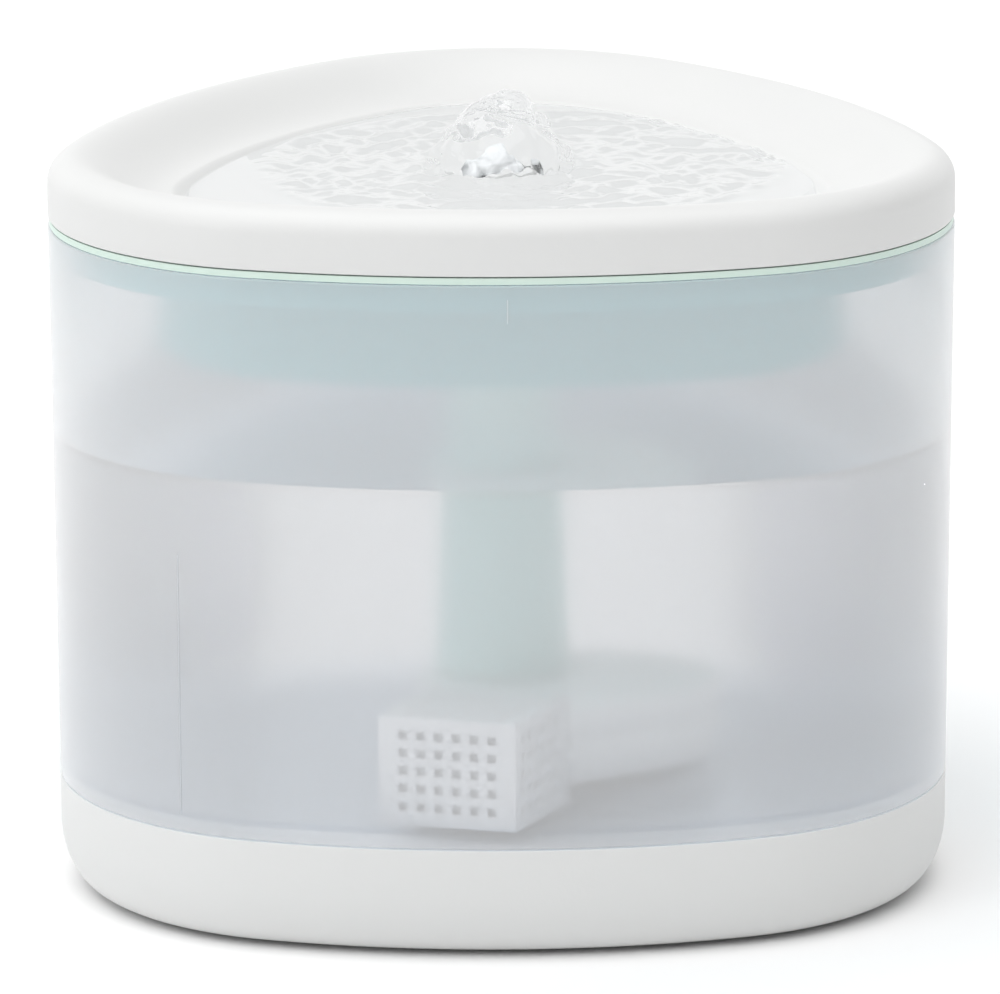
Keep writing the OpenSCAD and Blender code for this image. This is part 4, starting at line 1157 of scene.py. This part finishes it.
def make_froth():
    rng = random.Random(5)
    balls = []
    for i in range(FROTH_BALLS):
        away, turn = FROTH_REACH * math.sqrt(i / FROTH_BALLS), i * GOLDEN_TURN
        rise = (FROTH_PEAK * (1 - i / FROTH_BALLS) + rng.uniform(-1.2, 0.8)) * MM
        place = (away * math.cos(turn), middle_y + away * math.sin(turn), pool_z + rise)
        r = rng.uniform(1.1, 2.0)
        bpy.ops.mesh.primitive_ico_sphere_add(subdivisions=3, radius=r * MM, location=place)
        balls.append(bpy.context.object)
    froth = remeshed(joined("outlet_froth", balls), 0.4 * MM, 2)
    return soften(outward(crumpled(froth, ((0.8, 0.18),))), 180)


froth_white = moulded("froth_white", (0.82, 0.84, 0.85), rough=0.3, tone=0.03)
dress(make_froth(), froth_white, "lid")

# %% [markdown]
# ## Filter
# The cartridge sits in the tray's basket: a white frame that holds a bed of carbon granules under
# a soft cotton pad. A pad is not a slab. It is quilted where it is stitched, so it swells between
# the seams and pulls in at its edges. A cloth simulation would do it, but on a flat ring that is
# pressed into a frame a few waves in code give the same form and never vary.

# %% Finishes of the filter
def fibrous(name, colour):
    """Felted cotton: crossing fibres that catch the light, with a soft sheen."""
    material, tree, shader = new_material(name)
    where, link = object_place(tree), tree.links.new
    both = tree.nodes.new("ShaderNodeMath")
    both.operation = "MAXIMUM"
    for socket, turn in enumerate((0.4, 2.1)):
        lay = new_node(tree, "ShaderNodeMapping", Rotation=(0, 0, turn), Scale=(350, 2600, 900))
        strand = new_node(tree, "ShaderNodeTexNoise", Scale=1.0, Detail=3.0)
        link(where, lay.inputs["Vector"])
        link(lay.outputs["Vector"], strand.inputs["Vector"])
        link(strand.outputs["Fac"], both.inputs[socket])
    tinted(tree, shader, both.outputs[0], [c * 0.86 for c in colour], colour)
    embossed(tree, shader, both.outputs[0], 0.5, 0.0005)
    set_inputs(shader, Roughness=0.95, Sheen_Weight=0.25)
    return material


def speckled(name, dark, light, scale, rough, depth):
    """Grains or pores: a cell pattern that sets both the tone and the relief."""
    material, tree, shader = new_material(name)
    cells = new_node(tree, "ShaderNodeTexVoronoi", Scale=scale)
    tree.links.new(object_place(tree), cells.inputs["Vector"])
    tinted(tree, shader, cells.outputs["Distance"], dark, light)
    embossed(tree, shader, cells.outputs["Distance"], 0.6, depth)
    set_inputs(shader, Roughness=rough)
    return material


cotton = fibrous("cotton_felt", (0.9, 0.9, 0.88))
carbon = speckled("carbon_granules", (0.05, 0.052, 0.055), (0.014, 0.014, 0.016), 700, 0.55, 0.0004)
print("the filter's finishes:", cotton.name, "and", carbon.name)

# %% Cotton pad and granules
PAD_INSET = 27 * MM
PAD_HOLE_R = 17.3 * MM
QUILT = 14 * MM
FLUFF = 2.2 * MM
GRANULE = 2.3 * MM


def filling(name, low, high, relief, under, steps, edge):
    """A ring-shaped filling: relief shapes its top, and its bottom by the share that under gives."""
    inner, outer = circle(PAD_HOLE_R + edge, 0), outline(PAD_INSET + edge, 0)
    middle = (low + high) / 2

    def skin(z, lift):
        rings = []
        for i in range(steps + 1):
            ring = inner + (outer - inner) * i / steps
            ring[:, 2] = [z + lift * relief(x, y, i / steps) for x, y, _ in ring]
            rings.append(ring)
        return rings

    rings = skin(high, 1) + [outline(PAD_INSET, middle)]
    rings += skin(low, -under)[::-1] + [circle(PAD_HOLE_R, middle)]
    return loft(name, rings, True, 60)


def quilted(x, y, share):
    """The pad's top: swollen between its stitches, drawn in at both edges."""
    puff = math.sin(math.pi * share) ** 0.5
    wave = math.cos(2 * math.pi * x / QUILT) * math.cos(2 * math.pi * (y - middle_y) / QUILT)
    fluff = noise.noise((x / FLUFF, y / FLUFF, 1.5))
    return (-1.9 + 1.35 * puff + 0.35 * wave * puff + 0.16 * fluff) * MM


def pebbled(x, y, share):
    """Granules: round lumps, higher in the middle of each, all over the bed."""
    near = noise.voronoi((x / GRANULE, y / GRANULE, 3.0))[0]
    return (-1.15 + 0.95 * min(1.0, near[1] - near[0])) * MM


low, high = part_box("filter_pad")
pad = filling("cotton_pad", low.z, high.z, quilted, 0, 46, 0.8 * MM)
dress(pad, cotton, "filter", SLOTS["filter_pad"], "filter_pad")
low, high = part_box("filter_granules")
bed = filling("carbon_bed", low.z + 0.7 * MM, high.z, pebbled, 0.6, 90, 0.5 * MM)
dress(bed, carbon, "filter", SLOTS["filter_granules"], "filter_granules")

# %% [markdown]
# ## Foam in the strainer
# A block of open foam fills the box behind the strainer's holes. A cloth simulation with pressure
# would swell it, but foam that fits its box hardly changes form: soft corners, a skin that sinks
# and rises by a tenth or two of a millimetre, and pores in the finish are all that it needs.

# %% Strainer foam
STRAINER_TURN = math.radians(-20)
FOAM_SIDE = 27.8 * MM
PORE = 1.3 * MM


def make_foam():
    low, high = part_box("strainer_foam")
    bpy.ops.mesh.primitive_cube_add(size=1)
    foam = bpy.context.object
    foam.name = foam.data.name = "foam_block"
    foam.data.transform(Matrix.Diagonal((FOAM_SIDE, FOAM_SIDE, high.z - low.z, 1)))
    ease = foam.modifiers.new("ease", "BEVEL")
    ease.width, ease.segments = 1.6 * MM, 3
    grid = foam.modifiers.new("grid", "REMESH")
    grid.mode, grid.voxel_size = "VOXEL", 0.7 * MM
    applied(foam)
    for v, normal in zip(foam.data.vertices, [v.normal.copy() for v in foam.data.vertices]):
        v.co -= normal * (0.22 + 0.22 * noise.noise(v.co / PORE)) * MM
    foam.data.transform(Matrix.Translation((low + high) / 2) @ Matrix.Rotation(STRAINER_TURN, 4, "Z"))
    return soften(outward(foam), 180)


open_foam = speckled("open_foam", (0.95, 0.96, 0.97), (0.74, 0.76, 0.77), 900, 0.9, 0.0006)
foam = dress(make_foam(), open_foam, "strainer", SLOTS["strainer_foam"], "strainer_foam")

# %% [markdown]
# ## Pump, plates and the parts inside
# These solids already have their real shape, but an edge in a drawing is sharp to the last atom,
# and a moulded or turned edge never is. So each one is copied, its flat faces are cleaned up, and
# every sharp edge gets a small round. Small edges only need a tenth of a millimetre: it is enough
# to catch a line of light. The finishes come first, with the copper's wire drawn as fine rings.

# %% More finishes
rubber = moulded("rubber", (0.10, 0.105, 0.11), rough=0.75, grain=1500, bump=0.12, tone=0.08)
silicone = moulded("silicone", (0.82, 0.84, 0.83), rough=0.5, grain=700, bump=0.05, Subsurface_Weight=0.2)
steel = moulded("steel", (0.62, 0.62, 0.63), rough=0.3, grain=1400, tone=0.04, Metallic=1.0)
black_plastic = moulded("black_plastic", (0.035, 0.036, 0.038), rough=0.45, tone=0.1)
ceramic = moulded("ceramic", (0.86, 0.85, 0.82), rough=0.22, grain=1800, bump=0.03)
ferrite = moulded("ferrite", (0.06, 0.058, 0.06), rough=0.6, grain=2200, bump=0.15, tone=0.12)
board_green = moulded("board_green", (0.03, 0.22, 0.11), rough=0.3, grain=420, bump=0.25, tone=0.15)
WIRE_TURNS = 450


def wound(name, centre):
    """Lacquered copper wire, wound in rings about an upright axis through centre."""
    material, tree, shader = new_material(name)
    about = tree.nodes.new("ShaderNodeVectorMath")
    about.operation = "SUBTRACT"
    about.inputs[1].default_value = centre
    turns = new_node(tree, "ShaderNodeTexWave", Scale=WIRE_TURNS, Distortion=0.0)
    turns.wave_type, turns.rings_direction = "RINGS", "Z"
    tree.links.new(object_place(tree), about.inputs[0])
    tree.links.new(about.outputs["Vector"], turns.inputs["Vector"])
    tinted(tree, shader, turns.outputs["Fac"], (0.30, 0.10, 0.04), (0.80, 0.36, 0.18))
    embossed(tree, shader, turns.outputs["Fac"], 0.7, 0.0004)
    set_inputs(shader, Metallic=0.9, Roughness=0.3, Coat_Weight=0.4)
    return material


copper = wound("copper_wire", (boss_mid.x, boss_mid.y, 0))
print("finishes in all:", len(bpy.data.materials))

# %% Eased copies of the solids
EDGE_ANGLE = math.radians(32)
FLAT_ANGLE = math.radians(0.5)
WELD = 0.002 * MM


def eased(node, name, material, width):
    """A copy of a solid whose sharp edges are rounded by width."""
    solid = frame["nodes"][node]
    bm = bmesh.new()
    bm.from_mesh(solid.data)
    bmesh.ops.remove_doubles(bm, verts=bm.verts, dist=WELD)
    bmesh.ops.dissolve_limit(bm, angle_limit=FLAT_ANGLE, verts=bm.verts, edges=bm.edges)
    sharp = [e for e in bm.edges if e.is_manifold and e.calc_face_angle(0) > EDGE_ANGLE]
    bmesh.ops.bevel(bm, geom=sharp, offset=width, offset_type="OFFSET", segments=2, profile=0.5,
                    affect="EDGES", clamp_overlap=True)
    bmesh.ops.remove_doubles(bm, verts=bm.verts, dist=WELD)
    bmesh.ops.triangulate(bm, faces=bm.faces)
    copy = new_object(name, [], [])
    bm.to_mesh(copy.data)
    bm.free()
    body = solid.parent.name.split(":")[1]
    return dress(soften(copy, 30), material, body, SLOTS[node], node)


EASED = (
    ("base_plate", "bottom_plate", satin_white, 0.4),
    ("rubber_feet", "feet", rubber, 0.4),
    ("base_screws", "case_screws", steel, 0.15),
    ("power_inlet", "inlet_shell", steel, 0.15),
    ("control_board", "circuit_board", board_green, 0.1),
    ("board_parts", "chips", black_plastic, 0.15),
    ("coil_carrier", "carrier", black_plastic, 0.3),
    ("outlet_adapter", "adapter", silicone, 0.3),
    ("pump_housing", "pump_case", pump_white, 0.4),
    ("pump_cover", "pump_lid", pump_white, 0.5),
    ("pump_bottom", "pump_base", pump_white, 0.3),
    ("pump_feet", "pump_pads", silicone, 0.15),
    ("strainer_box", "strainer_case", strainer_white, 0.3),
    ("filter_frame", "cartridge_frame", pump_white, 0.3),
    ("stator_core", "stator_iron", steel, 0.1),
)
for node, name, material, width in EASED:
    eased(node, name, material, width * MM)

# %% [markdown]
# ## Parts that keep their solid
# Coils, ferrites, the impeller and its shaft are shut inside, and their solids are fine enough as
# they are. An eased copy would only add weight, so they keep their solid and just get a finish.

# %% Solids that only need their finish
PLAIN = {
    "sending_coil": copper, "receiving_coil": copper, "stator_windings": copper, "volute": pump_white,
    "sending_ferrite": ferrite, "receiving_ferrite": ferrite, "impeller": black_plastic,
    "rotor_magnet": ferrite, "impeller_shaft": ceramic, "shaft_bushes": ceramic,
}
for node, material in PLAIN.items():
    frame["nodes"][node].material_slots[0].material = material
print("finished solids:", ", ".join(PLAIN))
